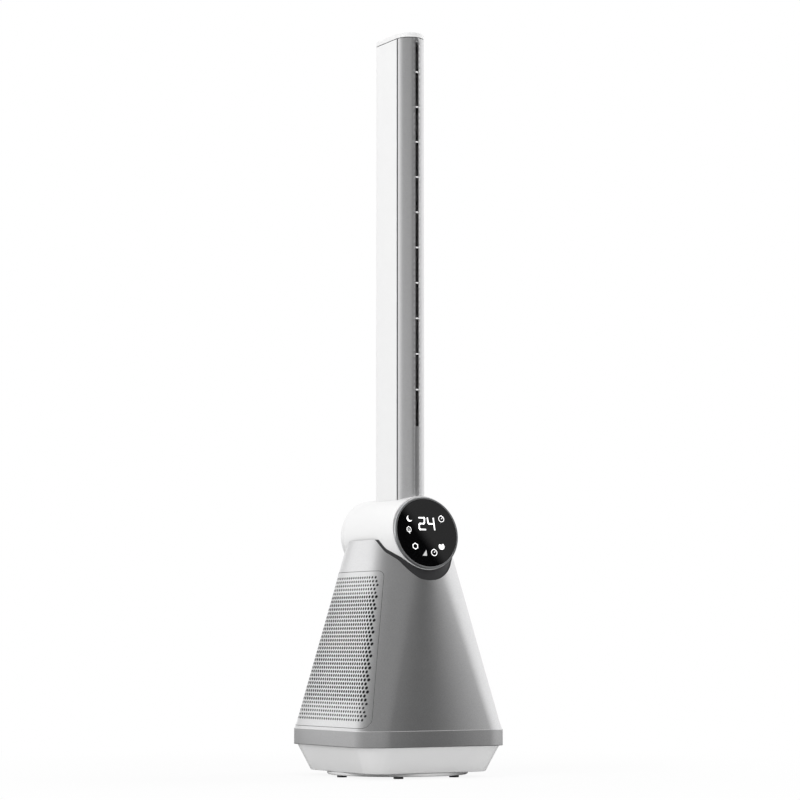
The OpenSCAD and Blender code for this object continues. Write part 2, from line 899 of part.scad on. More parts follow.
module power_board() {
    board_z = floor_top_z + board_lift;
    color(board_green)
        translate([board_x, 0, board_z]) {
            translate([-board_half_x, -board_half_y, 0])
                cube([2 * board_half_x, 2 * board_half_y, board_t]);
            translate([-board_half_x + board_edge, -coil_w / 2, board_t])
                cube([coil_w, coil_w, coil_h]);
            for (side = [-1, 1])
                translate([board_half_x / 2, side * coil_w, board_t])
                    cylinder(r = cap_can_r, h = cap_can_h);
        }
}

// The inlet's own frame: +Y out of the leaning rear wall, from the wall's face
module at_inlet() {
    translate([0, body_half_d(inlet_z), inlet_z])
        rotate([inlet_lean, 0, 0])
            children();
}

module power_inlet() {
    color(black)
        at_inlet()
            difference() {
                union() {
                    translate([-inlet_w / 2, 0, -inlet_h / 2])
                        cube([inlet_w, inlet_flange_t, inlet_h]);
                    translate([-inlet_body_w / 2, -inlet_depth, -inlet_body_h / 2])
                        cube([inlet_body_w, inlet_depth, inlet_body_h]);
                }
                translate([0, inlet_flange_t + cut, 0])
                    rotate([90, 0, 0]) {
                        for (side = [-1, 1])
                            translate([side * inlet_pocket_half, 0, 0])
                                cylinder(r = inlet_pocket_r, h = inlet_pocket_depth + cut);
                        translate([-inlet_pocket_half, -inlet_pocket_r, 0])
                            cube([2 * inlet_pocket_half, 2 * inlet_pocket_r, inlet_pocket_depth + cut]);
                    }
                for (side = [-1, 1])
                    translate([side * inlet_pin_half, cut, 0])
                        rotate([90, 0, 0])
                            cylinder(r = inlet_pin_r + seat_gap, h = inlet_depth + 2 * cut);
            }
}

module inlet_pins() {
    color(brass)
        at_inlet()
            for (side = [-1, 1])
                translate([side * inlet_pin_half, inlet_flange_t - cut, 0])
                    rotate([90, 0, 0])
                        cylinder(r = inlet_pin_r, h = inlet_pin_len + inlet_pin_root);
}

module chassis_plate() {
    half_w = body_half_w(chassis_top_z) - wall - slip_gap;
    half_d = body_half_d(chassis_top_z) - wall - slip_gap;
    color(dark_grey)
        difference() {
            union() {
                translate([0, 0, chassis_z])
                    linear_extrude(chassis_t)
                        rounded_rect(half_w, half_d, body_corner(chassis_top_z) - wall - slip_gap);
                at_four(pillar_at, pillar_at)
                    translate([0, 0, chassis_z])
                        cylinder(r = chassis_boss_r, h = chassis_t + chassis_boss_h);
                at_four(post_at, post_at)
                    translate([0, 0, chassis_z])
                        cylinder(r = post_r, h = chassis_t + post_h);
            }
            at_four(pillar_at, pillar_at)
                translate([0, 0, chassis_z - cut])
                    cylinder(r = screw_r + seat_gap, h = base_screw_len - pillar_land + pilot_extra + cut);
            at_four(body_boss_x, body_boss_y)
                translate([0, 0, chassis_z - cut])
                    cylinder(r = screw_r + screw_room, h = chassis_t + 2 * cut);
            at_four(post_at, post_at)
                translate([0, 0, duct_z + ear_t - duct_screw_len - pilot_extra])
                    cylinder(r = screw_r + seat_gap, h = duct_screw_len + 2 * pilot_extra);
        }
}

module body_screws() {
    color(steel)
        at_four(body_boss_x, body_boss_y)
            translate([0, 0, chassis_z])
                screw_up(screw_r, body_screw_len, screw_head_r, screw_head_h);
}

// Outline of a grille panel in Y and Z, drawn in by inset
module panel_plan(inset) {
    corners = [[-panel_low_half + inset, panel_z + inset], [panel_low_half - inset, panel_z + inset],
        [panel_top_half - inset, panel_top_z - inset], [-panel_top_half + inset, panel_top_z - inset]];
    polygon(rounded_outline(corners, panel_corner_r - inset, 6));
}

// A flat outline in Y and Z pushed out along X, from the middle to one side
module to_side(side) {
    mirror([side < 0 ? 1 : 0, 0, 0])
        rotate([90, 0, 90])
            linear_extrude(band_half + cut)
                children();
}

// The silver shell before its bosses and its saddle: band, tapered body and the windows in it
module body_skin() {
    difference() {
        union() {
            hull() {
                slice(band_z, band_half, band_half, band_corner_r);
                slice(body_z - slice_t, band_half, band_half, band_corner_r);
            }
            body_solid(body_z, body_top_z, 0);
        }
        translate([0, 0, band_z + ledge_t])
            linear_extrude(band_h - ledge_t)
                rounded_rect(band_half - wall, band_half - wall, band_corner_r - wall);
        body_solid(body_z - slice_t, body_top_z + cut, wall);
        translate([0, 0, band_z - cut])
            linear_extrude(ledge_t + 2 * cut)
                rounded_rect(ledge_half, ledge_half, skirt_top_corner_r - wall);
        for (side = [-1, 1])
            to_side(side)
                panel_plan(0);
        at_inlet()
            translate([-inlet_body_w / 2 - slip_gap, -inlet_depth, -inlet_body_h / 2 - slip_gap])
                cube([inlet_body_w + 2 * slip_gap, inlet_depth + cut, inlet_body_h + 2 * slip_gap]);
    }
}

module body_shell() {
    color(silver)
        difference() {
            union() {
                body_skin();
                intersection() {
                    at_four(body_boss_x, body_boss_y)
                        translate([0, 0, chassis_top_z])
                            cylinder(r = body_boss_r, h = body_boss_h);
                    body_solid(body_z, body_top_z, wall / 2);
                }
            }
            at_four(body_boss_x, body_boss_y)
                translate([0, 0, chassis_top_z - cut])
                    cylinder(r = screw_r + seat_gap, h = body_screw_len - chassis_t + pilot_extra + cut);
            along_neck(saddle_z, saddle_r, -body_low_half, body_low_half);
        }
}

// Places of the grille's holes in one row, which ends short of the panel's slanted edges
function row_z(row) = row_low_z + row * row_pitch;
function row_half(row) = blend(panel_low_half, panel_top_half, (row_z(row) - panel_z) / panel_h) - field_margin;
function row_shift(row) = (1 - row % 2) * hole_pitch / 2;
function row_holes(row) = floor((row_half(row) - row_shift(row)) / hole_pitch);

// Holes or dimples of the rows from first to last
module hole_field(first, last) {
    for (row = [first:last])
        for (k = [-row_holes(row) - 1 + row % 2:row_holes(row)])
            translate([k * hole_pitch + row_shift(row), row_z(row)])
                circle(d = hole_d, $fn = 16);
}

module grille_panel(side) {
    intersection() {
        difference() {
            body_solid(panel_z - cut, panel_top_z + cut, panel_recess);
            body_solid(panel_z - 2 * cut, panel_top_z + 2 * cut, wall);
        }
        to_side(side)
            difference() {
                panel_plan(panel_seam);
                hole_field(dimple_rows, row_count - 1 - dimple_rows);
            }
    }
}

module left_grille() {
    color(silver)
        grille_panel(-1);
}

module right_grille() {
    color(silver)
        grille_panel(1);
}

module duct_mounts() {
    color(rubber)
        at_four(post_at, post_at)
            translate([0, 0, duct_z - mount_h])
                difference() {
                    cylinder(r = mount_r, h = mount_h);
                    translate([0, 0, -cut])
                        cylinder(r = screw_r + screw_room, h = mount_h + 2 * cut);
                }
}

module duct_screws() {
    color(steel)
        at_four(post_at, post_at)
            translate([0, 0, duct_z + ear_t])
                rotate([180, 0, 0])
                    screw_up(screw_r, duct_screw_len, screw_head_r, screw_head_h);
}

module fan_duct() {
    mouth_wall_r = mouth_r - duct_wall;
    color(dark_grey) {
        rotate_extrude() {
            translate([duct_r, duct_z + mouth_r])
                square([duct_wall, duct_top_z - duct_z - mouth_r]);
            intersection() {
                translate([duct_r + mouth_r, duct_z + mouth_r])
                    difference() {
                        circle(r = mouth_r);
                        circle(r = mouth_wall_r);
                    }
                translate([duct_r, duct_z])
                    square([mouth_r, mouth_r]);
            }
            translate([duct_r, duct_top_z - duct_flange_t])
                square([duct_flange_r - duct_r, duct_flange_t]);
        }
        difference() {
            at_four(post_at, post_at)
                translate([0, 0, duct_z])
                    cylinder(r = ear_r, h = ear_t);
            translate([0, 0, duct_z - cut])
                cylinder(r = duct_r + mouth_r - slice_t, h = ear_t + 2 * cut);
            at_four(post_at, post_at)
                translate([0, 0, duct_z - cut])
                    cylinder(r = screw_r + screw_room, h = ear_t + 2 * cut);
        }
    }
}

module duct_gasket() {
    color(rubber)
        translate([0, 0, duct_top_z])
            difference() {
                cylinder(r = duct_flange_r, h = gasket_t);
                translate([0, 0, -cut])
                    cylinder(r = duct_r, h = gasket_t + 2 * cut);
            }
}

module diffuser() {
    color(dark_grey) {
        difference() {
            union() {
                translate([0, 0, hub_z])
                    cylinder(r = hub_r, h = hub_h);
                translate([0, 0, hub_z + hub_h])
                    cylinder(r1 = hub_r, r2 = hub_cone_r, h = hub_cone_h);
            }
            translate([0, 0, hub_z - cut])
                cylinder(r = hub_in_r, h = hub_flange_z - hub_z + cut);
            translate([0, 0, hub_flange_z + hub_flange_t])
                cylinder(r = hub_in_r, h = hub_z + hub_h - hub_flange_z - hub_flange_t);
            translate([0, 0, hub_z + hub_h - slice_t])
                cylinder(r1 = hub_in_r, r2 = hub_cone_r - hub_wall, h = hub_cone_h - hub_wall);
            translate([0, 0, hub_flange_z - cut])
                cylinder(r = bearing_r + stator_tube_wall, h = hub_flange_t + 2 * cut);
            on_ring(motor_screw_ring_r, motor_screw_count, motor_screw_angle)
                translate([0, 0, hub_flange_z - cut])
                    cylinder(r = small_screw_r + seat_gap, h = hub_flange_t + 2 * cut);
        }
        for (k = [0:vane_count - 1])
            rotate([0, 0, 360 * k / vane_count])
                translate([0, 0, hub_z + vane_lift])
                    linear_extrude(vane_h, twist = vane_twist, slices = 6, $fn = 4)
                        translate([hub_r - hub_wall / 2, -vane_t / 2])
                            square([duct_r - hub_r + hub_wall / 2 - run_gap, vane_t]);
    }
}

module motor_stator() {
    color(brass)
        difference() {
            union() {
                translate([0, 0, stator_z])
                    cylinder(r = stator_r, h = stator_h);
                translate([0, 0, stator_z])
                    cylinder(r = bearing_r + stator_tube_wall, h = stator_base_z - stator_z);
                translate([0, 0, stator_base_z])
                    cylinder(r = hub_in_r - slip_gap, h = stator_base_t);
            }
            translate([0, 0, stator_z - cut])
                cylinder(r = bearing_r + seat_gap, h = stator_base_z + stator_base_t - stator_z + 2 * cut);
            for (k = [0:stator_slots - 1])
                rotate([0, 0, 360 * k / stator_slots])
                    translate([bearing_r + 2 * stator_tube_wall, -stator_slot_w / 2, stator_z - cut])
                        cube([stator_r, stator_slot_w, stator_h + cut]);
            on_ring(motor_screw_ring_r, motor_screw_count, motor_screw_angle)
                translate([0, 0, stator_base_z - cut])
                    cylinder(r = small_screw_r + screw_room, h = stator_base_t + 2 * cut);
        }
}

module motor_bearings() {
    color(steel)
        for (z = [stator_z, stator_base_z + stator_base_t - bearing_h])
            translate([0, 0, z])
                difference() {
                    cylinder(r = bearing_r, h = bearing_h);
                    translate([0, 0, -cut])
                        cylinder(r = shaft_r + run_gap, h = bearing_h + 2 * cut);
                }
}

module motor_screws() {
    color(steel)
        on_ring(motor_screw_ring_r, motor_screw_count, motor_screw_angle)
            translate([0, 0, stator_base_z])
                screw_up(small_screw_r, motor_screw_len, small_head_r, small_head_h);
}

module motor_shaft() {
    color(steel)
        translate([0, 0, impeller_z - shaft_lead])
            cylinder(r = shaft_r, h = stator_base_z + stator_base_t - impeller_z + shaft_lead);
}

module motor_rotor() {
    color(steel)
        translate([0, 0, rotor_z])
            difference() {
                cylinder(r = rotor_r, h = rotor_h);
                translate([0, 0, rotor_plate_t])
                    cylinder(r = rotor_r - rotor_wall, h = rotor_h);
                translate([0, 0, -cut])
                    cylinder(r = shaft_r + seat_gap, h = rotor_plate_t + 2 * cut);
            }
}

module impeller() {
    blade_r = duct_r - impeller_gap;
    color(black)
        difference() {
            union() {
                difference() {
                    translate([0, 0, impeller_z])
                        cylinder(r1 = impeller_hub_low_r, r2 = hub_r, h = impeller_hub_h);
                    translate([0, 0, impeller_z + impeller_skin])
                        cylinder(r1 = impeller_hub_low_r - impeller_skin, r2 = hub_r - impeller_skin,
                            h = impeller_hub_h);
                }
                translate([0, 0, impeller_z])
                    cylinder(r = impeller_boss_r, h = impeller_boss_h);
                difference() {
                    for (k = [0:blade_count - 1])
                        rotate([0, 0, 360 * k / blade_count])
                            translate([0, 0, impeller_z + blade_lift])
                                linear_extrude(blade_h, twist = blade_twist, slices = 6, $fn = 4)
                                    translate([impeller_boss_r, -blade_t / 2])
                                        square([blade_r - impeller_boss_r, blade_t]);
                    translate([0, 0, impeller_z + impeller_skin])
                        cylinder(r1 = impeller_hub_low_r - impeller_skin, r2 = hub_r - impeller_skin,
                            h = impeller_hub_h);
                }
            }
            translate([0, 0, impeller_z - cut])
                cylinder(r = shaft_r + seat_gap, h = impeller_boss_h + 2 * cut);
        }
}

module impeller_nut() {
    color(brass)
        translate([0, 0, impeller_z - shaft_nut_h])
            difference() {
                cylinder(r = shaft_nut_r, h = shaft_nut_h, $fn = 6);
                translate([0, 0, -cut])
                    cylinder(r = shaft_r + seat_gap, h = shaft_nut_h + 2 * cut);
            }
}

module neck_collar() {
    lip_inset = wall + slip_gap;
    color(dark_grey)
        difference() {
            union() {
                difference() {
                    union() {
                        intersection() {
                            body_solid(collar_z, body_top_z, collar_inset);
                            along_neck(saddle_z, saddle_r - slip_gap, -body_low_half, body_low_half);
                        }
                        body_solid(collar_z, body_top_z, lip_inset);
                    }
                    difference() {
                        body_solid(collar_z + collar_floor_t, body_top_z - collar_wall, lip_inset + collar_wall);
                        neck_solid(collar_wall, -body_low_half, body_low_half);
                    }
                }
                translate([0, 0, collar_z])
                    cylinder(r1 = airway_low_r + airway_wall, r2 = airway_top_r + airway_wall, h = airway_h);
            }
            translate([0, 0, collar_z - slice_t])
                cylinder(r1 = airway_low_r, r2 = airway_top_r, h = airway_h + 2 * slice_t);
            at_four(collar_port_x, duct_flange_r + collar_port_gap)
                translate([0, 0, collar_z - cut])
                    cylinder(r = collar_port_r, h = collar_floor_t + 2 * cut);
            neck_solid(run_gap, -body_low_half, body_low_half);
        }
}

module neck_housing() {
    color(white)
        difference() {
            neck_solid(0, -neck_front - neck_r, neck_rear - rear_cap_t);
            along_neck(neck_z, neck_in_r, -neck_front - neck_r - cut, neck_rear);
            on_display()
                translate([-2 * neck_r, -2 * neck_r, ring_t + groove_w - 2 * neck_r])
                    cube([4 * neck_r, 4 * neck_r, 2 * neck_r]);
            translate([0, 0, collar_z])
                cylinder(r = airway_top_r, h = collar_drop);
            translate([0, 0, neck_z])
                linear_extrude(neck_r + cut)
                    column_plan(-slip_gap);
        }
}

module neck_rear_cap() {
    color(white)
        translate([0, neck_rear - rear_cap_t, neck_z])
            rotate([-90, 0, 0])
                rotate_extrude() {
                    square([neck_r, rear_cap_t - rear_cap_round]);
                    square([neck_r - rear_cap_round, rear_cap_t]);
                    translate([neck_r - rear_cap_round, rear_cap_t - rear_cap_round])
                        circle(r = rear_cap_round);
                    translate([neck_in_r - slip_gap - neck_wall, -rear_cap_lip])
                        square([neck_wall, rear_cap_lip + slice_t]);
                }
}

module neck_bulkhead() {
    rear_y = -nose_reach - column_half - slip_gap - socket_wall - bulkhead_gap;
    color(dark_grey)
        along_neck(neck_z, neck_in_r - slip_gap, rear_y - bulkhead_t, rear_y);
}

module display_ring() {
    color(silver)
        on_display()
            difference() {
                union() {
                    cylinder(r = ring_r, h = ring_t);
                    cylinder(r = spigot_r, h = ring_t + spigot_h);
                }
                translate([0, 0, -cut])
                    cylinder(r = glass_r + glass_seat, h = glass_inset + glass_t + cut);
                cylinder(r = spigot_r - spigot_wall, h = ring_t + spigot_h + cut);
            }
}

module display_glass() {
    color(black)
        on_display()
            translate([0, 0, glass_inset])
                cylinder(r = glass_r, h = glass_t);
}

module display_mask() {
    color(rubber)
        on_display()
            translate([0, 0, glass_inset + glass_t])
                cylinder(r = mask_r, h = mask_t);
}

module display_board() {
    color(board_green)
        on_display()
            translate([0, 0, glass_inset + glass_t + mask_t])
                cylinder(r = mask_r, h = board_t);
}

module column_socket() {
    color(dark_grey)
        intersection() {
            translate([0, 0, column_foot_z - socket_ledge_t])
                difference() {
                    linear_extrude(socket_ledge_t + socket_h)
                        column_plan(-slip_gap - socket_wall);
                    translate([0, 0, socket_ledge_t])
                        linear_extrude(socket_h + cut)
                            column_plan(-slip_gap);
                    translate([0, 0, -cut])
                        linear_extrude(socket_ledge_t + 2 * cut)
                            column_plan(socket_ledge_in);
                    for (side = [-1, 1])
                        translate([side * (column_half - column_wall - cut), 0, column_screw_z - column_foot_z
                            + socket_ledge_t])
                            rotate([0, side * 90, 0])
                                cylinder(r = small_screw_r + screw_room, h = column_wall + socket_wall + 2 * cut);
                }
            along_neck(neck_z, neck_in_r - slip_gap, -neck_front, neck_rear - rear_cap_t - rear_cap_lip);
        }
}

module column_screws() {
    color(steel)
        for (side = [-1, 1])
            translate([side * (column_half + slip_gap + socket_wall), 0, column_screw_z])
                rotate([0, -side * 90, 0])
                    screw_up(small_screw_r, column_screw_len, small_head_r, small_head_h);
}

module column_shell() {
    color(white)
        translate([0, 0, column_foot_z])
            difference() {
                linear_extrude(column_top_z - column_foot_z)
                    difference() {
                        column_plan(0);
                        column_plan(column_wall);
                        translate([-column_half, -nose_reach - column_half])
                            square([2 * column_half, column_half]);
                    }
                for (side = [-1, 1])
                    translate([side * (column_half - column_wall - cut), 0, column_screw_z - column_foot_z])
                        rotate([0, side * 90, 0])
                            cylinder(r = small_screw_r + seat_gap, h = column_wall + 2 * cut);
            }
}

// Ribs leave these slot openings between them, from the lower end of the slot up
function rib_mid(k) = slot_z + rib_rise + k * rib_pitch;
function opening_low(k) = k == 0 ? slot_z : rib_mid(k - 1) + rib_t / 2;
function opening_top(k) = k == rib_count ? slot_top_z : rib_mid(k) - rib_t / 2;

// The slot's openings, each of the given width
module slot_cuts(width) {
    for (k = [0:rib_count])
        translate([-width / 2, -nose_reach - column_half - strip_raise - cut, opening_low(k)])
            cube([width, column_half, opening_top(k) - opening_low(k)]);
}

module column_front() {
    channel_half = strip_w / 2 + seam_gap / 2;
    color(silver)
        difference() {
            translate([0, 0, column_foot_z])
                linear_extrude(column_top_z - column_foot_z)
                    intersection() {
                        difference() {
                            translate([0, -nose_reach])
                                circle(r = column_half);
                            translate([0, -nose_reach])
                                circle(r = column_half - front_wall);
                            translate([-channel_half, -nose_reach - column_half])
                                square([2 * channel_half, column_half - sqrt(pow(column_half - strip_depth, 2)
                                    - pow(channel_half, 2))]);
                        }
                        translate([-column_half, -nose_reach - column_half - seam_gap])
                            square([2 * column_half, column_half]);
                    }
            slot_cuts(slot_w + 2 * seam_gap);
        }
}

module nozzle_strip() {
    color(silver)
        difference() {
            translate([0, 0, column_foot_z + socket_h])
                linear_extrude(column_top_z - column_foot_z - socket_h)
                    intersection() {
                        translate([0, -nose_reach])
                            circle(r = column_half + strip_raise);
                        translate([-strip_w / 2, -nose_reach - column_half - strip_raise])
                            square([strip_w, column_half + strip_raise - sqrt(pow(column_half - strip_depth, 2)
                                - pow(strip_w / 2 + seam_gap / 2, 2))]);
                    }
            slot_cuts(slot_w);
        }
}

module column_guide() {
    mouth_edge = guide_mouth_half + guide_t;
    front_y = -nose_reach - sqrt(pow(column_half - front_wall, 2) - pow(mouth_edge, 2)) + guide_gap;
    color(dark_grey)
        translate([0, 0, column_foot_z + socket_h + guide_low])
            linear_extrude(column_top_z - cap_lip - column_foot_z - socket_h - 2 * guide_low)
                for (side = [-1, 1])
                    polygon([[side * guide_mouth_half, front_y], [side * mouth_edge, front_y],
                        [side * (guide_back_half + guide_t), front_y + guide_depth],
                        [side * guide_back_half, front_y + guide_depth]]);
}

module cap_seal() {
    color(black)
        translate([0, 0, column_top_z])
            linear_extrude(seal_t)
                difference() {
                    column_plan(seal_inset);
                    column_plan(column_wall + slip_gap);
                }
}

// Half section of the cap, rounded at its top edge
module cap_section() {
    square([column_half, cap_h - cap_round]);
    square([column_half - cap_round, cap_h]);
    translate([column_half - cap_round, cap_h - cap_round])
        circle(r = cap_round);
}

module column_cap() {
    lip_inset = front_wall + slip_gap;
    color(white) {
        translate([0, 0, cap_z]) {
            translate([0, tail_reach, 0])
                rotate([90, 0, 0])
                    linear_extrude(nose_reach + tail_reach) {
                        cap_section();
                        mirror([1, 0])
                            cap_section();
                    }
            for (y = [-nose_reach, tail_reach])
                translate([0, y, 0])
                    rotate_extrude()
                        cap_section();
        }
        translate([0, 0, column_top_z - cap_lip])
            linear_extrude(cap_lip + seal_t)
                difference() {
                    column_plan(lip_inset);
                    column_plan(lip_inset + cap_lip_wall);
                }
    }
}

rubber_feet();
stand_disc();
ballast_plate();
ballast_screws();
swivel_spindle();
spindle_screws();
glide_ring();
spindle_washer();
swivel_gear();
spindle_nut();
base_pan();
base_screws();
swivel_motor();
swivel_motor_screws();
swivel_pinion();
power_board();
power_inlet();
inlet_pins();
chassis_plate();
body_screws();
body_shell();
left_grille();
right_grille();
duct_mounts();
duct_screws();
fan_duct();
duct_gasket();
diffuser();
motor_stator();
motor_bearings();
motor_screws();
motor_shaft();
motor_rotor();
impeller();
impeller_nut();
neck_collar();
neck_housing();
neck_rear_cap();
neck_bulkhead();
display_ring();
display_glass();
display_mask();
display_board();
column_socket();
column_screws();
column_shell();
column_front();
nozzle_strip();
column_guide();
cap_seal();
column_cap();
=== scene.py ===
"""Looks of the bladeless tower fan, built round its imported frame.

Sizes are millimetres in the part's own frame: origin on the floor under the swing axis, +Z up and
the display towards -Y. Meshes are written in metres.
"""

import json
import logging
import math
from dataclasses import dataclass, field
from enum import Enum
from functools import partial
from typing import Callable, Sequence

import bpy
import numpy as np
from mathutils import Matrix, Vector
from mathutils.geometry import delaunay_2d_cdt


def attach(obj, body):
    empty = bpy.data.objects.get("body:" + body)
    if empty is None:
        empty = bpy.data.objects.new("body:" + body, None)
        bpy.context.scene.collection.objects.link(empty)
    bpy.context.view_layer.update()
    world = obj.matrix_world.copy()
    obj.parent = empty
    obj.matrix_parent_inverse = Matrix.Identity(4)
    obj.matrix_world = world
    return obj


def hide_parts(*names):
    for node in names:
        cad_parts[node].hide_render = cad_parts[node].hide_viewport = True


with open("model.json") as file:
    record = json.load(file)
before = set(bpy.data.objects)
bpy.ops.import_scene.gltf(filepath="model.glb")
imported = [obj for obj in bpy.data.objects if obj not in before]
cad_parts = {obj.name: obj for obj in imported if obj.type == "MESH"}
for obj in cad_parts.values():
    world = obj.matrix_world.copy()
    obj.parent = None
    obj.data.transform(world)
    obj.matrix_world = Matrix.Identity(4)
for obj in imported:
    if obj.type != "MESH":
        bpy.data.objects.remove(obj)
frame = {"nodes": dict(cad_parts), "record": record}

MM = 0.001
TINY = 1e-6
WHITE = (1.0, 1.0, 1.0, 1.0)
TOWER = "tower"
log = logging.getLogger("fan")

Colour = tuple[float, float, float]
Surface = Callable[[np.ndarray], tuple[np.ndarray, np.ndarray]]


class Slot(Enum):
    """The record's material slots."""

    RUBBER = "rubber"
    DARK_PLASTIC = "dark_plastic"
    STEEL = "steel"
    WHITE_PLASTIC = "white_plastic"
    GEAR_PLASTIC = "gear_plastic"
    BRASS = "brass"
    SILVER_PAINT = "silver_paint"
    RING_METAL = "ring_metal"
    BLACK_PLASTIC = "black_plastic"
    DISPLAY_GLASS = "display_glass"
    CIRCUIT_BOARD = "circuit_board"
    COPPER_WINDING = "copper_winding"


class Side(Enum):
    """The fan's two sides, as the sign of their X."""

    LEFT = -1
    RIGHT = 1


class Value:
    """A shader socket that takes part in sums: each operator adds the Math node that works it out."""

    def __init__(self, net: "Net", socket: bpy.types.NodeSocket) -> None:
        """Keep the socket and the node tree that it is in."""
        self.net = net
        self.socket = socket

    def _math(self, operation: str, *terms: object) -> "Value":
        """Add a Math node.

        Args:
            operation: The Math node's operation.
            terms: Its inputs, in order, as values or plain numbers.

        Returns:
            The node's result.
        """
        return self.net.out("ShaderNodeMath", {"operation": operation}, dict(enumerate(terms)))

    def __add__(self, other: object) -> "Value":
        """Sum."""
        return self._math("ADD", self, other)

    def __radd__(self, other: object) -> "Value":
        """Sum, with the value second."""
        return self._math("ADD", other, self)

    def __sub__(self, other: object) -> "Value":
        """Difference."""
        return self._math("SUBTRACT", self, other)

    def __rsub__(self, other: object) -> "Value":
        """Difference, with the value second."""
        return self._math("SUBTRACT", other, self)

    def __mul__(self, other: object) -> "Value":
        """Product."""
        return self._math("MULTIPLY", self, other)

    def __rmul__(self, other: object) -> "Value":
        """Product, with the value second."""
        return self._math("MULTIPLY", other, self)

    def __pow__(self, other: object) -> "Value":
        """Power."""
        return self._math("POWER", self, other)

    def __rpow__(self, other: object) -> "Value":
        """Power, with the value as the exponent."""
        return self._math("POWER", other, self)

    def ramp(self, low: float, high: float, start: float = 0.0, end: float = 1.0) -> "Value":
        """Ease this value from one number to another.

        Args:
            low: Value at which the easing starts.
            high: Value at which it ends.
            start: Result at or below low.
            end: Result at or above high.

        Returns:
            The eased value.
        """
        inputs = {"Value": self, "From Min": low, "From Max": high, "To Min": start, "To Max": end}
        return self.net.out("ShaderNodeMapRange", {"interpolation_type": "SMOOTHSTEP"}, inputs)


class Net:
    """The node tree of a material or of the world."""

    def __init__(self, tree: bpy.types.NodeTree) -> None:
        """Start with an empty tree."""
        self.tree = tree
        tree.nodes.clear()

    def node(self, kind: str, settings: dict | None = None, inputs: dict | None = None) -> bpy.types.Node:
        """Add a node.

        Args:
            kind: The node's type.
            settings: Its properties, set first.
            inputs: Plain values or links for its sockets, by name or number.

        Returns:
            The new node.
        """
        made = self.tree.nodes.new(kind)
        for name, setting in (settings or {}).items():
            setattr(made, name, setting)
        for name, given in (inputs or {}).items():
            if isinstance(given, Value):
                self.tree.links.new(given.socket, made.inputs[name])
            else:
                made.inputs[name].default_value = given
        return made

    def out(self, kind: str, settings: dict | None = None, inputs: dict | None = None,
            result: int | str = 0) -> Value:
        """Add a node and return one of its outputs, the first if no other is named."""
        return Value(self, self.node(kind, settings, inputs).outputs[result])

    def mix(self, factor: object, first: object, second: object) -> Value:
        """Mix two colours by a factor."""
        inputs = {0: factor, 6: opaque(first), 7: opaque(second)}
        return self.out("ShaderNodeMix", {"data_type": "RGBA"}, inputs, 2)

    def noise(self, where: Value, scale: float, detail: float = 2.0) -> Value:
        """Soft noise round 0.5, with a number of grains per metre."""
        inputs = {"Vector": where, "Scale": scale, "Detail": detail}
        return self.out("ShaderNodeTexNoise", None, inputs, "Fac")

    def place(self, stretch: tuple[float, float, float] = (1.0, 1.0, 1.0)) -> Value:
        """The place on the piece in metres, stretched along its axes."""
        where = self.out("ShaderNodeTexCoord", None, None, "Object")
        return where if stretch == (1.0, 1.0, 1.0) else self.vector("MULTIPLY", where, stretch)

    def vector(self, operation: str, *terms: object, result: int | str = 0) -> Value:
        """Add a Vector Math node and return one of its outputs."""
        return self.out("ShaderNodeVectorMath", {"operation": operation}, dict(enumerate(terms)), result)

    def cells(self, where: Value, scale: float, result: str) -> Value:
        """Small cells, with a number of them per metre: each cell's own colour, or the distance in it."""
        return self.out("ShaderNodeTexVoronoi", None, {"Vector": where, "Scale": scale}, result)

    def light(self, strength: object) -> Value:
        """Plain white light of a strength."""
        return self.out("ShaderNodeEmission", None, {"Color": WHITE, "Strength": strength})

    def rays(self) -> tuple[Value, Value]:
        """Whether a ray comes from the camera, and whether it was mirrored."""
        path = self.node("ShaderNodeLightPath")
        return Value(self, path.outputs["Is Camera Ray"]), Value(self, path.outputs["Is Glossy Ray"])


def new_material(name: str) -> tuple[bpy.types.Material, Net]:
    """A material with its empty node tree.

    Args:
        name: Its name.

    Returns:
        The material, and its node tree.
    """
    material = bpy.data.materials.new(name)
    material.use_nodes = True
    return material, Net(material.node_tree)


def placed(name: str, data: bpy.types.ID) -> bpy.types.Object:
    """A new object that is in the scene.

    Args:
        name: Its name.
        data: Its mesh, camera or lamp.

    Returns:
        The object.
    """
    made = bpy.data.objects.new(name, data)
    bpy.context.scene.collection.objects.link(made)
    return made


def scaled(colour: Colour, share: float) -> Colour:
    """A lighter or darker colour, no brighter than white."""
    return tuple(min(channel * share, 1.0) for channel in colour)


def opaque(colour: object) -> object:
    """Give a plain colour its fourth channel, and leave a link as it is."""
    return colour if isinstance(colour, Value) else (*colour, 1.0)


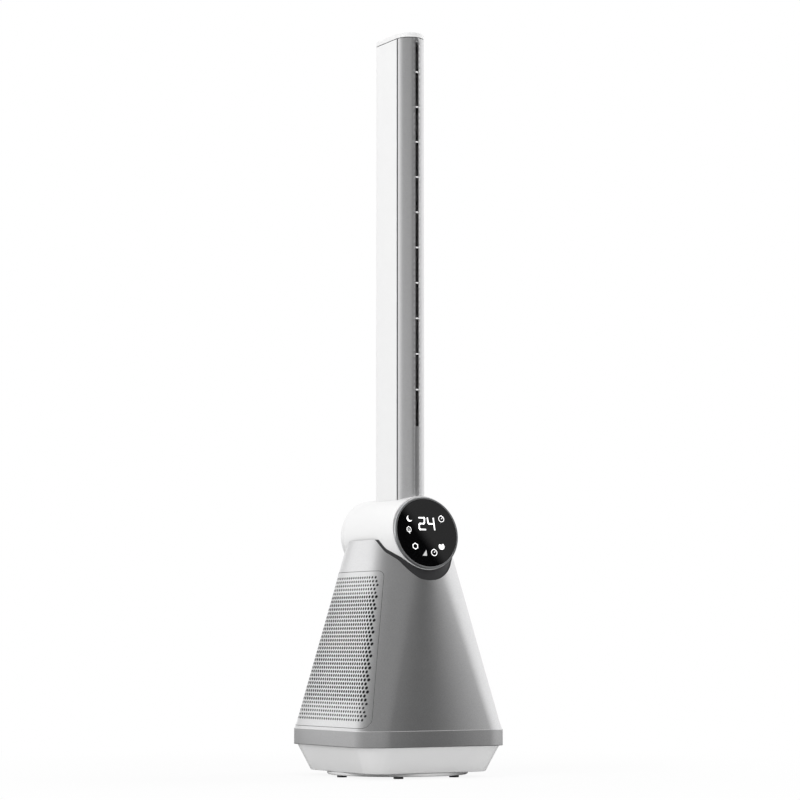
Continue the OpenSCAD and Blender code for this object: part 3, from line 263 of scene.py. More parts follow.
@dataclass(frozen=True)
class Finish:
    """A moulded surface: its colour, gloss and fine grain."""

    slot: Slot
    colour: Colour
    roughness: float
    metallic: float = 0.0
    tone: float = 0.04
    tone_scale: float = 35.0
    rough_range: float = 0.05
    grain: float = 1800.0
    grain_depth: float = 0.02
    grain_strength: float = 0.12
    coat: float = 0.0
    coat_roughness: float = 0.1
    stretch: tuple[float, float, float] = (1.0, 1.0, 1.0)

    def build(self) -> bpy.types.Material:
        """Make the material.

        Returns:
            A material with the finish's name, made of procedural nodes.
        """
        material, net = new_material(self.slot.value)
        where = net.place(self.stretch)
        shader = net.node("ShaderNodeBsdfPrincipled", None, {
            "Base Color": self.base(net, where),
            "Metallic": self.metallic,
            "Roughness": self.gloss(net, where),
            "Coat Weight": self.coat,
            "Coat Roughness": self.coat_roughness,
            "Normal": self.relief(net, where),
        })
        self.extras(net, shader, where)
        net.node("ShaderNodeOutputMaterial", None, {"Surface": Value(net, shader.outputs[0])})
        return material

    def base(self, net: Net, where: Value) -> Value:
        """Colour that drifts a little lighter and darker over the piece."""
        dark, light = scaled(self.colour, 1.0 - self.tone), scaled(self.colour, 1.0 + self.tone)
        return net.mix(net.noise(where, self.tone_scale, 4.0), dark, light)

    def gloss(self, net: Net, where: Value) -> Value:
        """Roughness that varies in soft patches."""
        patches = net.noise(where, 2.3 * self.tone_scale, 3.0)
        return patches * self.rough_range + (self.roughness - self.rough_range / 2)

    def relief(self, net: Net, where: Value) -> Value:
        """Fine grain as a bump."""
        return self.bump(net, net.noise(where, self.grain, 2.0))

    def bump(self, net: Net, height: Value) -> Value:
        """Bump from a height of 0 to 1, which stands for the depth of the grain."""
        inputs = {"Strength": self.grain_strength, "Distance": self.grain_depth * MM, "Height": height}
        return net.out("ShaderNodeBump", None, inputs)

    def extras(self, net: Net, shader: bpy.types.Node, where: Value) -> None:
        """Further sockets of a special finish; a plain moulding has none."""


@dataclass(frozen=True)
class FlakePaint(Finish):
    """Silver paint: fine metal flakes that catch the light one by one, under a thin clear coat."""

    flake: float = 2600.0
    sparkle: float = 0.10

    def base(self, net: Net, where: Value) -> Value:
        """Flakes of slightly different brightness over the drifting tone.

        Args:
            net: The finish's node tree.
            where: The place on the piece.

        Returns:
            The colour.
        """
        glint = net.out("ShaderNodeSeparateColor", None, {"Color": net.cells(where, self.flake, "Color")})
        dull, bright = scaled(self.colour, 1.0 - self.sparkle), scaled(self.colour, 1.0 + self.sparkle)
        flakes = net.mix(glint, dull, bright)
        return net.mix(net.noise(where, self.tone_scale, 3.0) * self.tone, flakes, WHITE[:3])

    def relief(self, net: Net, where: Value) -> Value:
        """Each flake lies at its own slight angle."""
        return self.bump(net, net.cells(where, self.flake, "Distance"))


@dataclass(frozen=True)
class TurnedMetal(Finish):
    """Metal with the fine rings that turning on a lathe leaves round an axis along the neck."""

    pitch: float = 9000.0
    centre: tuple[float, float, float] = (0.0, 0.0, 0.299)

    def relief(self, net: Net, where: Value) -> Value:
        """Grooves round the axis.

        Args:
            net: The finish's node tree.
            where: The place on the piece.

        Returns:
            The bump.
        """
        flat = net.vector("MULTIPLY", net.vector("SUBTRACT", where, self.centre), (1.0, 0.0, 1.0))
        radius = net.vector("LENGTH", flat, result="Value")
        grooves = net.out("ShaderNodeMath", {"operation": "SINE"}, {0: radius * self.pitch})
        return self.bump(net, grooves * 0.5 + 0.5)


@dataclass(frozen=True)
class PrintedGlass(Finish):
    """Black back-printed glass: deep gloss with faint finger smudges."""

    def gloss(self, net: Net, where: Value) -> Value:
        """Nearly a mirror, with smudges a little duller."""
        smudge = net.noise(where, 60.0, 5.0).ramp(0.55, 0.75)
        return smudge * self.rough_range + self.roughness

    def extras(self, net: Net, shader: bpy.types.Node, where: Value) -> None:
        """The glass mirrors more strongly than plain plastic."""
        shader.inputs["Specular IOR Level"].default_value = 1.0


@dataclass(frozen=True)
class BoardGreen(Finish):
    """Circuit board: green lacquer over copper tracks."""

    def base(self, net: Net, where: Value) -> Value:
        """Lighter tracks in a fine square pattern under the lacquer.

        Args:
            net: The finish's node tree.
            where: The place on the piece.

        Returns:
            The colour.
        """
        inputs = {"Vector": where, "Scale": 420.0, "Randomness": 0.35}
        cells = net.out("ShaderNodeTexVoronoi", {"distance": "MANHATTAN"}, inputs, "Distance")
        tracks = cells.ramp(0.42, 0.5)
        return net.mix(tracks, self.colour, scaled(self.colour, 2.2))


@dataclass(frozen=True)
class Glow:
    """Lit signs behind the glass."""

    name: str
    colour: Colour
    strength: float

    def build(self) -> bpy.types.Material:
        """Make the material, slightly uneven like a diffused lamp.

        Returns:
            The material.
        """
        material, net = new_material(self.name)
        uneven = net.noise(net.place(), 500.0, 2.0)
        lit = net.mix(uneven, scaled(self.colour, 0.93), self.colour)
        shader = net.out("ShaderNodeBsdfPrincipled", None, {
            "Base Color": lit, "Roughness": 0.4, "Emission Color": lit, "Emission Strength": self.strength})
        net.node("ShaderNodeOutputMaterial", None, {"Surface": shader})
        return material


FINISHES: tuple[Finish, ...] = (
    Finish(Slot.RUBBER, (0.045, 0.045, 0.047), 0.82, tone=0.15, grain=1400.0, grain_strength=0.4),
    Finish(Slot.DARK_PLASTIC, (0.030, 0.030, 0.032), 0.5, tone=0.08, grain=2200.0, grain_strength=0.25),
    Finish(Slot.STEEL, (0.60, 0.61, 0.63), 0.34, 1.0, tone=0.06, rough_range=0.12, grain=900.0,
           stretch=(0.12, 1.0, 1.0)),
    Finish(Slot.WHITE_PLASTIC, (0.86, 0.86, 0.86), 0.33, tone=0.012, rough_range=0.04, grain=1300.0,
           grain_strength=0.06, coat=0.15, coat_roughness=0.12),
    Finish(Slot.GEAR_PLASTIC, (0.80, 0.78, 0.70), 0.5, tone=0.05),
    Finish(Slot.BRASS, (0.74, 0.56, 0.26), 0.28, 1.0, tone=0.08, grain=2500.0, stretch=(1.0, 1.0, 0.1)),
    FlakePaint(Slot.SILVER_PAINT, (0.85, 0.85, 0.855), 0.38, 1.0, tone=0.03, grain_strength=0.10,
               grain_depth=0.01),
    TurnedMetal(Slot.RING_METAL, (0.70, 0.71, 0.72), 0.3, 1.0, grain_strength=0.08, grain_depth=0.01),
    Finish(Slot.BLACK_PLASTIC, (0.016, 0.016, 0.018), 0.45, tone=0.1, grain=2000.0, grain_strength=0.2),
    PrintedGlass(Slot.DISPLAY_GLASS, (0.0015, 0.0015, 0.0018), 0.0, rough_range=0.03, grain_strength=0.002,
                 grain=300.0, tone=0.2),
    BoardGreen(Slot.CIRCUIT_BOARD, (0.012, 0.085, 0.035), 0.4),
    Finish(Slot.COPPER_WINDING, (0.55, 0.25, 0.10), 0.36, 0.9, tone=0.12, grain=1600.0, grain_strength=0.5,
           grain_depth=0.2, stretch=(1.0, 1.0, 0.25)),
)


@dataclass
class Form:
    """A mesh under way: corner points in millimetres, faces, and corner normals where they are known."""

    points: np.ndarray
    faces: list[tuple[int, ...]]
    normals: list[np.ndarray | None]
    painted: int | None = None

    @classmethod
    def joined(cls, forms: Sequence["Form"]) -> "Form":
        """Put several forms into one.

        Args:
            forms: The forms, in order.

        Returns:
            The joined form.
        """
        faces: list[tuple[int, ...]] = []
        start = 0
        for form in forms:
            faces += [tuple(start + corner for corner in face) for face in form.faces]
            start += len(form.points)
        normals = [normal for form in forms for normal in form.normals]
        return cls(np.vstack([form.points for form in forms]), faces, normals)

    def moved(self, place: Callable[[np.ndarray], np.ndarray]) -> "Form":
        """Carry the points elsewhere; known normals are dropped."""
        return Form(place(self.points), self.faces, [None] * len(self.faces))

    def outward(self) -> "Form":
        """Turn the faces so that a closed form faces outwards.

        Returns:
            The form itself.
        """
        volume = 0.0
        for face in self.faces:
            first = self.points[face[0]]
            for one, two in zip(face[1:-1], face[2:]):
                volume += float(np.dot(first, np.cross(self.points[one], self.points[two])))
        if volume < 0:
            self.faces = [face[::-1] for face in self.faces]
        return self


def key_of(point: np.ndarray) -> tuple[float, ...]:
    """Key that points which lie together share."""
    return tuple(np.round(point, 4) + 0.0)


def sides_of(faces: Sequence[tuple[int, ...]]) -> set[tuple[int, int]]:
    """The directed sides of faces."""
    return {side for face in faces for side in zip(face, face[1:] + face[:1])}


def welded(points: np.ndarray, faces: Sequence[Sequence[int]]) -> Form:
    """Merge points that lie together, and drop faces that this leaves with no area.

    Args:
        points: Corner points.
        faces: Faces on them.

    Returns:
        The form without doubles.
    """
    keys: dict[tuple[float, ...], int] = {}
    kept: list[np.ndarray] = []
    index = []
    for point in points:
        key = key_of(point)
        if key not in keys:
            keys[key] = len(kept)
            kept.append(point)
        index.append(keys[key])
    clean = []
    for face in faces:
        corners = [index[corner] for corner in face]
        corners = [corner for n, corner in enumerate(corners) if corner != corners[n - 1]]
        if len(set(corners)) == len(corners) and len(corners) > 2:
            clean.append(tuple(corners))
    return Form(np.array(kept), clean, [None] * len(clean))


def loft(rings: Sequence[np.ndarray], closed: bool = False) -> Form:
    """Stretch faces between rings of points.

    Args:
        rings: Rings with one number of points each, in order.
        closed: Whether the last ring joins the first; otherwise both ends are capped.

    Returns:
        The closed form.
    """
    count = len(rings[0])
    faces: list[tuple[int, ...]] = []
    pairs = len(rings) if closed else len(rings) - 1
    for k in range(pairs):
        low, high = k * count, ((k + 1) % len(rings)) * count
        faces += [(low + i, low + (i + 1) % count, high + (i + 1) % count, high + i) for i in range(count)]
    if not closed:
        faces.append(tuple(range(count)))
        faces.append(tuple(range((len(rings) - 1) * count, len(rings) * count)[::-1]))
    return welded(np.vstack(rings), faces).outward()


def lathe(profile: Sequence[tuple[float, float]], segments: int = 128) -> Form:
    """Turn a closed profile of (radius, height) points about the Z axis.

    Args:
        profile: The closed profile.
        segments: Segments of a full turn.

    Returns:
        The closed form.
    """
    turns = np.linspace(0, 2 * math.pi, segments, endpoint=False)
    rings = [np.column_stack([r * np.cos(turns), r * np.sin(turns), np.full(segments, z)])
             for r, z in profile]
    return loft(rings, closed=True)


def rounding(centre: tuple[float, float], radius: float, start: float, end: float,
             steps: int = 5) -> list[tuple[float, float]]:
    """Points of an arc, from one angle in degrees to another."""
    turns = np.radians(np.linspace(start, end, steps + 1))
    return [(centre[0] + radius * math.cos(turn), centre[1] + radius * math.sin(turn)) for turn in turns]


def unit(rows: np.ndarray) -> np.ndarray:
    """Directions of length one."""
    return rows / np.linalg.norm(rows, axis=1)[:, None]


def blend(low: float, high: float, share: np.ndarray | float) -> np.ndarray | float:
    """Number that lies a share of the way from low to high."""
    return low + (high - low) * share


def rounded_plan(half_w: float, half_d: float, radius: float, z: float, steps: int = 16) -> np.ndarray:
    """A level ring round a rounded rectangle.

    Args:
        half_w: Half of its width.
        half_d: Half of its depth.
        radius: Its corner radius.
        z: Its height.
        steps: Segments of each corner.

    Returns:
        The ring's points.
    """
    points = []
    for quarter, (sx, sy) in enumerate(((1, 1), (-1, 1), (-1, -1), (1, -1))):
        centre = (sx * (half_w - radius), sy * (half_d - radius))
        points += rounding(centre, radius, 90 * quarter, 90 * (quarter + 1), steps)
    return level_ring(points, z)


def level_ring(outline: Sequence[Sequence[float]], z: float) -> np.ndarray:
    """Points of an outline in the plan at a height."""
    return np.array([(x, y, z) for x, y in outline])


def prism(outline: Sequence[Sequence[float]], low: float, high: float) -> Form:
    """Closed form on an outline, between two heights."""
    return loft([level_ring(outline, z) for z in (low, high)])


def circle(centre: tuple[float, float], radius: float, steps: int, start: float = 0.0) -> np.ndarray:
    """Points round a circle in a plane."""
    turns = start + np.linspace(0, 2 * math.pi, steps, endpoint=False)
    return np.column_stack([centre[0] + radius * np.cos(turns), centre[1] + radius * np.sin(turns)])


def densified(points: np.ndarray, step: float) -> np.ndarray:
    """Add points along a closed outline so that no side is longer than step.

    Args:
        points: Corners of the outline.
        step: Greatest length of a side.

    Returns:
        The outline with its added points.
    """
    out = []
    for here, after in zip(points, np.roll(points, -1, axis=0)):
        count = max(1, math.ceil(float(np.linalg.norm(after - here)) / step))
        out += [here + (after - here) * k / count for k in range(count)]
    return np.array(out)


def counterclockwise(outline: np.ndarray) -> np.ndarray:
    """The outline, turned round if it runs clockwise.

    Args:
        outline: Points of a closed outline.

    Returns:
        The same points, counterclockwise.
    """
    after = np.roll(outline, -1, axis=0)
    area = float(np.sum(outline[:, 0] * after[:, 1] - after[:, 0] * outline[:, 1]))
    return outline if area > 0 else outline[::-1]


@dataclass
class Pits:
    """Blind dimples in a shell: their rims in the plan, their depth, and how steep their walls are."""

    rims: list[np.ndarray] = field(default_factory=list)
    depth: float = 0.0
    floor_share: float = 0.62
    wall_share: float = 0.8


def skin(outline: np.ndarray, holes: Sequence[np.ndarray], inner: np.ndarray, surface: Surface,
         depth: Callable[[np.ndarray, np.ndarray], np.ndarray] | float, pits: Pits | None = None) -> Form:
    """Closed shell over a smooth surface, with holes right through it and blind dimples.

    Args:
        outline: Its outline in the plan.
        holes: Outlines of the holes in the plan.
        inner: Further plan points that the shell passes through.
        surface: Gives the points and outward normals over plan points.
        depth: Wall of the shell, as a number or from its points and normals.
        pits: Blind dimples.

    Returns:
        The shell, with the surface's own normals on both of its faces.
    """
    pits = pits or Pits()
    loops = [counterclockwise(loop) for loop in (outline, *holes, *pits.rims)]
    plan: list[Vector] = []
    rings = []
    for loop in loops:
        rings.append(list(range(len(plan), len(plan) + len(loop))))
        plan += [Vector(point) for point in loop]
    plan += [Vector(point) for point in inner]
    flat, _, faces, origins, _, inside = delaunay_2d_cdt(plan, [], rings, 0, 1e-7)
    over, up = surface(np.array([(point[0], point[1]) for point in flat]))
    wall = depth(over, up) if callable(depth) else np.full(len(over), depth)
    under = over - up * wall[:, None]
    first_pit = 1 + len(holes)
    shown = [face for face, where in zip(faces, inside) if list(where) == [0]]
    dimpled = [face for face, where in zip(faces, inside) if len(where) == 2 and max(where) >= first_pit]
    keys: dict[tuple[float, ...], int] = {}
    same = [keys.setdefault(key_of(point), number) for number, point in enumerate(over)]
    count = len(over)

    def turned(face: Sequence[int]) -> tuple[int, ...]:
        """The face with merged corners, turned to look along the surface's normals.

        Args:
            face: Numbers of its corners.

        Returns:
            The corners in their new order.
        """
        corners = tuple(same[corner] for corner in face)
        across = np.cross(over[corners[1]] - over[corners[0]], over[corners[2]] - over[corners[0]])
        return corners if float(np.dot(across, up[corners[0]])) > 0 else corners[::-1]

    shown = [turned(face) for face in shown]
    dimpled = [turned(face) for face in dimpled]
    shown = [face for face in shown if len(set(face)) == 3]
    out_faces: list[tuple[int, ...]] = list(shown)
    normals: list[np.ndarray | None] = [up[list(face)] for face in shown]
    for face in shown + dimpled:
        back = tuple(count + corner for corner in face[::-1])
        out_faces.append(back)
        normals.append(-up[list(face[::-1])])
    sides = sides_of(shown)
    whole = sides | sides_of(dimpled)
    for a, b in whole:
        if (b, a) not in whole:
            out_faces.append((b, a, count + a, count + b))
            normals.append(None)
    points = [over, under]
    start = 2 * count
    home = {origin: n for n, group in enumerate(origins) for origin in group}
    # Dimple walls and floors come after the painted faces, so the dark slot paints shade in them.
    for number, rim in enumerate(pits.rims):
        ring = [same[home[corner]] for corner in rings[first_pit + number]]
        middle = over[ring].mean(axis=0)
        sunk = up[ring].mean(axis=0) * pits.depth
        floor = middle + (over[ring] - middle) * pits.floor_share - sunk * pits.wall_share
        points += [floor, (middle - sunk)[None, :]]
        place = {corner: start + n for n, corner in enumerate(ring)}
        centre = start + len(ring)
        start += len(ring) + 1
        for a, b in zip(ring, ring[1:] + ring[:1]):
            a, b = (a, b) if (a, b) in sides else (b, a)
            out_faces += [(b, a, place[a], place[b]), (place[b], place[a], centre)]
            normals += [None, None]
    return Form(np.vstack(points), out_faces, normals, len(shown))


@dataclass
class Workshop:
    """Turns forms into dressed pieces. All of them ride on the tower; the stand keeps its solids."""

    materials: dict[Slot, bpy.types.Material] = field(default_factory=dict)

    def mix_finishes(self) -> None:
        """Make every finish."""
        for finish in FINISHES:
            self.materials[finish.slot] = finish.build()
            log.info("finish %s", finish.slot.value)

    def dress_frame(self) -> None:
        """Give each solid of the frame its slot's finish."""
        for part in frame["record"]["subparts"]:
            node = frame["nodes"][part["node"]]
            node.data.materials.clear()
            node.data.materials.append(self.materials[Slot(part["material_slot"])])

    def make(self, name: str, form: Form, slot: Slot, *stands_for: str, crease: float = 32.0,
             material: bpy.types.Material | None = None, backing_and_shade: Slot | None = None) -> bpy.types.Object:
        """Make a piece of the tower from a form.

        Args:
            name: The piece's name.
            form: Its shape.
            slot: The record's slot whose finish it takes.
            stands_for: The frame's solids that it replaces.
            crease: Angle in degrees from which an edge is sharp.
            material: A material of its own, in place of the slot's.
            backing_and_shade: The slot whose finish the unpainted back, edges, holes and dimples of a
                painted shell take.

        Returns:
            The new piece.
        """
        mesh = bpy.data.meshes.new(name)
        mesh.from_pydata((form.points * MM).tolist(), [], form.faces)
        mesh.polygons.foreach_set("use_smooth", [True] * len(mesh.polygons))
        mesh.set_sharp_from_angle(angle=math.radians(crease))
        known = any(normal is not None for normal in form.normals)
        if known:
            corners = [np.zeros((len(face), 3)) if normal is None else normal
                       for face, normal in zip(form.faces, form.normals)]
            mesh.normals_split_custom_set(np.vstack(corners).tolist())
        mesh.materials.append(material or self.materials[slot])
        # Dark slot for faces after the painted ones: unpainted back, edges and holes, and painted shade in
        # dimples.
        if backing_and_shade:
            mesh.materials.append(self.materials[backing_and_shade])
            bare_and_shaded = [int(number >= form.painted) for number in range(len(form.faces))]
            mesh.polygons.foreach_set("material_index", bare_and_shaded)
        piece = placed(name, mesh)
        if not known:
            even = piece.modifiers.new("even_normals", "WEIGHTED_NORMAL")
            even.keep_sharp = True
        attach(piece, TOWER)
        if stands_for:
            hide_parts(*stands_for)
        log.info("piece %s: %d faces", name, len(form.faces))
        return piece


STATION_NUMBERS = np.arange(10)
STATION_PLACES = ((0, -1, -1, -1, -1, 1, 1, 1, 1, 0), (1, 1, 1, -1, -1, -1, -1, 1, 1, 1),
                  (90, 90, 180, 180, 270, 270, 360, 360, 450, 450))


@dataclass
class Housing:
    """The tapered silver body with its band, grilles, collar and white skirt."""

    low_z: float = 58.5
    height: float = 232.5
    low_half: float = 103.0
    top_half_w: float = 51.6
    top_half_d: float = 70.8
    corner_r: float = 33.0
    top_corner_r: float = 47.4
    wall: float = 2.5
    least_wall: float = 0.3
    least_slant: float = 0.25
    saddle_z: float = 291.5
    saddle_r: float = 51.0
    rim_gap: float = 2.4
    rim_growth: float = 10.5
    rim_drop: float = 50.0
    band_low_z: float = 38.5
    band_half: float = 104.0
    band_corner_r: float = 34.0
    band_round: float = 0.7
    band_edge: float = 0.5
    band_lip: float = 0.3
    crown: float = 13.0
    ledge: float = 10.0
    skirt_low_z: float = 6.7
    skirt_low_half: float = 85.9
    skirt_top_half: float = 100.5
    skirt_low_r: float = 25.0
    skirt_round: float = 1.0
    floor_z: float = 14.0
    spindle_bore: float = 11.3
    panel_z: float = 62.0
    panel_top_z: float = 251.6
    panel_low_half: float = 93.115
    panel_top_half: float = 56.197
    panel_round: float = 9.0
    panel_seam: float = 0.5
    panel_recess: float = 0.35
    hole_r: float = 1.9
    dimple_r: float = 1.6
    dimple_depth: float = 2.0
    # Dark sheet behind each grille: a dust filter, and painted shade that keeps the holes black.
    filter_shade_gap: float = 1.8
    filter_shade_t: float = 0.4
    filter_shade_inset: float = 3.0
    filter_shade_step: float = 6.0
    filter_shade_reach: float = 88.0
    panel_reach: float = 84.0
    grid_step: float = 4.0
    hole_pitch: float = 5.53
    row_rise: float = 9.6
    rows: int = 37
    blind_rows: int = 5
    field_margin: float = 6.1
    sheet: float = 0.6
    collar_low_z: float = 236.0
    collar_inset: float = 1.0
    collar_wall: float = 2.4
    collar_drop: float = 0.4

    @property
    def top_z(self) -> float:
        """Height of the body's top."""
        return self.low_z + self.height

    def halves(self, z: np.ndarray | float) -> tuple[np.ndarray, np.ndarray]:
        """Half width and half depth of the body at a height."""
        share = (np.asarray(z, dtype=float) - self.low_z) / self.height
        return blend(self.low_half, self.top_half_w, share), blend(self.low_half, self.top_half_d, share)

    def corner(self, z: np.ndarray) -> np.ndarray:
        """Corner radius of the body at heights."""
        return blend(self.corner_r, self.top_corner_r, (z - self.low_z) / self.height)

    def upward(self, out_x: np.ndarray, out_y: np.ndarray) -> np.ndarray:
        """Upward part of the normal where the plan's own normal is (out_x, out_y).

        Args:
            out_x: X of the plan's normal.
            out_y: Its Y.

        Returns:
            The upward parts.
        """
        lean_w, lean_d = self.low_half - self.top_half_w, self.low_half - self.top_half_d
        growth = self.top_corner_r - self.corner_r
        wide, deep = np.abs(out_x), np.abs(out_y)
        return (lean_w * wide + lean_d * deep + growth * (wide + deep - 1)) / self.height

    @property
    def stations(self) -> np.ndarray:
        """Distances round the body at which its flats and corners begin, from the rear's middle.

        Returns:
            Ten distances, the last a whole turn.
        """
        flat = self.low_half - self.corner_r
        arc = self.corner_r * math.pi / 2
        return np.cumsum([0, flat, arc, 2 * flat, arc, 2 * flat, arc, 2 * flat, arc, flat])

    def around(self, plan: np.ndarray, inset: float = 0.0) -> tuple[np.ndarray, np.ndarray]:
        """Points and normals of the body's surface.

        Args:
            plan: Distances round the body, from the rear's middle by way of the left side, and heights.
            inset: Distance by which the surface is drawn in.

        Returns:
            The points and the outward normals.
        """
        turn = np.interp(plan[:, 0], self.stations, STATION_NUMBERS)
        z = plan[:, 1]
        half_w, half_d = self.halves(z)
        corner = self.corner(z)
        across, along, degrees = (np.interp(turn, STATION_NUMBERS, row) for row in STATION_PLACES)
        angle = np.radians(degrees)
        out_x, out_y = np.cos(angle), np.sin(angle)
        radius = corner - inset
        points = np.column_stack([across * (half_w - corner) + radius * out_x,
                                  along * (half_d - corner) + radius * out_y, z])
        shown = angle + math.radians(self.crown) * (along * out_x - across * out_y)
        normals = np.column_stack([np.cos(shown), np.sin(shown), self.upward(out_x, out_y)])
        return points, unit(normals)

    def side_at(self, plan: np.ndarray, side: Side, inset: float = 0.0) -> tuple[np.ndarray, np.ndarray]:
        """Points and normals of one side over (depth, height) points, round the corners too.

        Args:
            plan: Depths and heights.
            side: The side.
            inset: Distance by which the surface is drawn in.

        Returns:
            The points and the outward normals.
        """
        along, z = plan[:, 0], plan[:, 1]
        half_w, half_d = self.halves(z)
        corner = self.corner(z)
        flat = half_d - corner
        out_y = np.clip(np.abs(along) - flat, 0, corner * 0.999) / corner * np.sign(along)
        out_x = np.sqrt(1 - out_y ** 2)
        x = half_w - corner + (corner - inset) * out_x
        share = np.clip(along / np.maximum(flat, 1.0), -1, 1)
        shown = np.arcsin(out_y) + math.radians(self.crown) * (share * out_x - out_y)
        normals = np.column_stack([side.value * np.cos(shown), np.sin(shown), self.upward(out_x, out_y)])
        points = np.column_stack([side.value * x, along, z])
        return points, unit(normals)

    def round_from_side(self, plan: np.ndarray, side: Side) -> np.ndarray:
        """Turn (depth, height) points on one side into (distance round the body, height) points.

        Args:
            plan: Depths and heights.
            side: The side.

        Returns:
            Distances round the body, and heights.
        """
        along, z = plan[:, 0], plan[:, 1]
        _, half_d = self.halves(z)
        corner = self.corner(z)
        flat = half_d - corner
        over = np.degrees(np.arcsin(np.clip((np.abs(along) - flat) / corner, 0, 1))) / 90
        level = 2 + (flat - along) / (2 * flat)
        turn = np.where(along > flat, 2 - over, np.where(along < -flat, 3 + over, level))
        turn = turn if side is Side.LEFT else STATION_NUMBERS[-1] - turn
        return np.column_stack([np.interp(turn, STATION_NUMBERS, self.stations), z])

    def saddle(self, points: np.ndarray) -> np.ndarray:
        """Clearance of points from the cylinder that the body's top is cut to."""
        return np.hypot(points[:, 0], points[:, 2] - self.saddle_z) - self.saddle_r

    def rim(self, points: np.ndarray) -> np.ndarray:
        """Clearance of points from the cut of the walls' top, which keeps close to the neck.

        Args:
            points: Points of the body's surface.

        Returns:
            Their clearances.
        """
        drop = (self.top_z - points[:, 2]) / self.rim_drop
        gap = self.rim_gap + self.rim_growth * drop ** 2
        return np.maximum(self.saddle(points), Neck().clearance(points) - gap)

    def cut_height(self, distances: np.ndarray, clearance: Callable[[np.ndarray], np.ndarray], top: float,
                   inset: float) -> np.ndarray:
        """Height at which the surface meets a form that lies in the body's top.

        Args:
            distances: Places round the body.
            clearance: Gives the points' distances from the form, negative within it.
            top: Greatest height.
            inset: Distance by which the surface is drawn in.

        Returns:
            A height for each place.
        """
        low, high = np.full(len(distances), self.low_z), np.full(len(distances), top)
        for _ in range(40):
            middle = (low + high) / 2
            points, _ = self.around(np.column_stack([distances, middle]), inset)
            free = clearance(points) > 0
            low, high = np.where(free, middle, low), np.where(free, high, middle)
        return (low + high) / 2

    def distances(self, corner_steps: int = 22, flat_step: float = 5.0) -> np.ndarray:
        """Places round the body, close together at its corners.

        Args:
            corner_steps: Steps of each corner.
            flat_step: Greatest step of a flat.

        Returns:
            The distances, in order.
        """
        found: list[float] = []
        for piece, (start, end) in enumerate(zip(self.stations[:-1], self.stations[1:])):
            steps = corner_steps if piece % 2 else math.ceil((end - start) / flat_step)
            found += list(np.linspace(start, end, steps, endpoint=False))
        return np.array([*found, self.stations[-1]])

    def ring_plan(self, low: float, top: np.ndarray, distances: np.ndarray,
                  holes: Sequence[np.ndarray], step: float) -> tuple[np.ndarray, np.ndarray]:
        """Outline and inner points of a shell that goes all the way round.

        Args:
            low: Height of its lower edge.
            top: Height of its upper edge at each place.
            distances: The places.
            holes: Outlines that inner points keep clear of.
            step: Distance between the inner points' rows.

        Returns:
            The outline, and the inner points.
        """
        ends = np.arange(low + step, float(top[0]) - step / 2, step)
        right = np.column_stack([np.full(len(ends), distances[-1]), ends])
        left = np.column_stack([np.full(len(ends), distances[0]), ends[::-1]])
        outline = np.vstack([np.column_stack([distances, np.full(len(distances), low)]), right,
                             np.column_stack([distances, top])[::-1], left])
        inner = []
        boxes = [(hole.min(axis=0) - 1, hole.max(axis=0) + 1, hole) for hole in holes]
        for place, height in zip(distances[1:-1], top[1:-1]):
            for z in np.arange(low + step, height - step / 2, step):
                near = any((lo[0] < place < hi[0]) and (lo[1] < z < hi[1])
                           and inside_outline((place, z), hole, 1.2) for lo, hi, hole in boxes)
                if not near:
                    inner.append((place, z))
        return outline, np.array(inner)

    def panel_outline(self, grow: float) -> np.ndarray:
        """Outline of a grille panel in (depth, height), grown by a seam.

        Args:
            grow: Width of the seam, negative for an inset.

        Returns:
            The outline's points.
        """
        low, top = self.panel_z - grow, self.panel_top_z + grow
        wide, narrow = self.panel_low_half + grow, self.panel_top_half + grow
        radius = self.panel_round + grow
        lean = math.atan((wide - narrow) / (top - low))
        rise, inset, turn = radius * math.tan(lean), radius / math.cos(lean), math.degrees(lean)
        low_x, top_x = wide - rise - inset, narrow + rise - inset
        points = [*rounding((-low_x, low + radius), radius, 180 - turn, 270, 10),
                  *rounding((low_x, low + radius), radius, 270, 360 + turn, 10),
                  *rounding((top_x, top - radius), radius, turn, 90, 10),
                  *rounding((-top_x, top - radius), radius, 90, 180 - turn, 10)]
        return densified(np.array(points), 4.0)

    def hole_rows(self) -> tuple[list[np.ndarray], list[np.ndarray]]:
        """Through-holes and blind dimples of a panel, as outlines in (depth, height).

        Returns:
            The holes' outlines, and the dimples'.
        """
        through, blind = [], []
        row_pitch = self.hole_pitch * math.sqrt(3) / 2
        for row in range(self.rows):
            z = self.panel_z + self.row_rise + row * row_pitch
            share = (z - self.panel_z) / (self.panel_top_z - self.panel_z)
            half = blend(self.panel_low_half, self.panel_top_half, share) - self.field_margin
            shift = 0.0 if row % 2 else self.hole_pitch / 2
            reach = math.floor((half - shift) / self.hole_pitch)
            places = sorted({s * (shift + k * self.hole_pitch) for k in range(reach + 1) for s in (-1, 1)})
            if self.blind_rows <= row < self.rows - self.blind_rows:
                through += [circle((place, z), self.hole_r, 12) for place in places]
            else:
                blind += [circle((place, z), self.dimple_r, 12) for place in places]
        return through, blind

    def build(self, shop: Workshop) -> None:
        """Make the walls, the band, the grilles, the collar and the skirt.

        Args:
            shop: Where the pieces are made.
        """
        self.build_walls(shop)
        self.build_band(shop)
        for side in Side:
            self.build_grille(shop, side)
        self.build_collar(shop)
        self.build_skirt(shop)

    def build_walls(self, shop: Workshop) -> None:
        """Tapered silver walls with the saddle cut in their top and a window for each grille.

        Args:
            shop: Where the pieces are made.
        """
        places = self.distances()
        top = self.cut_height(places, self.rim, self.top_z, 0.0)
        windows = [self.round_from_side(self.panel_outline(self.panel_seam), side) for side in Side]
        outline, inner = self.ring_plan(self.low_z, top, places, windows, 9.0)

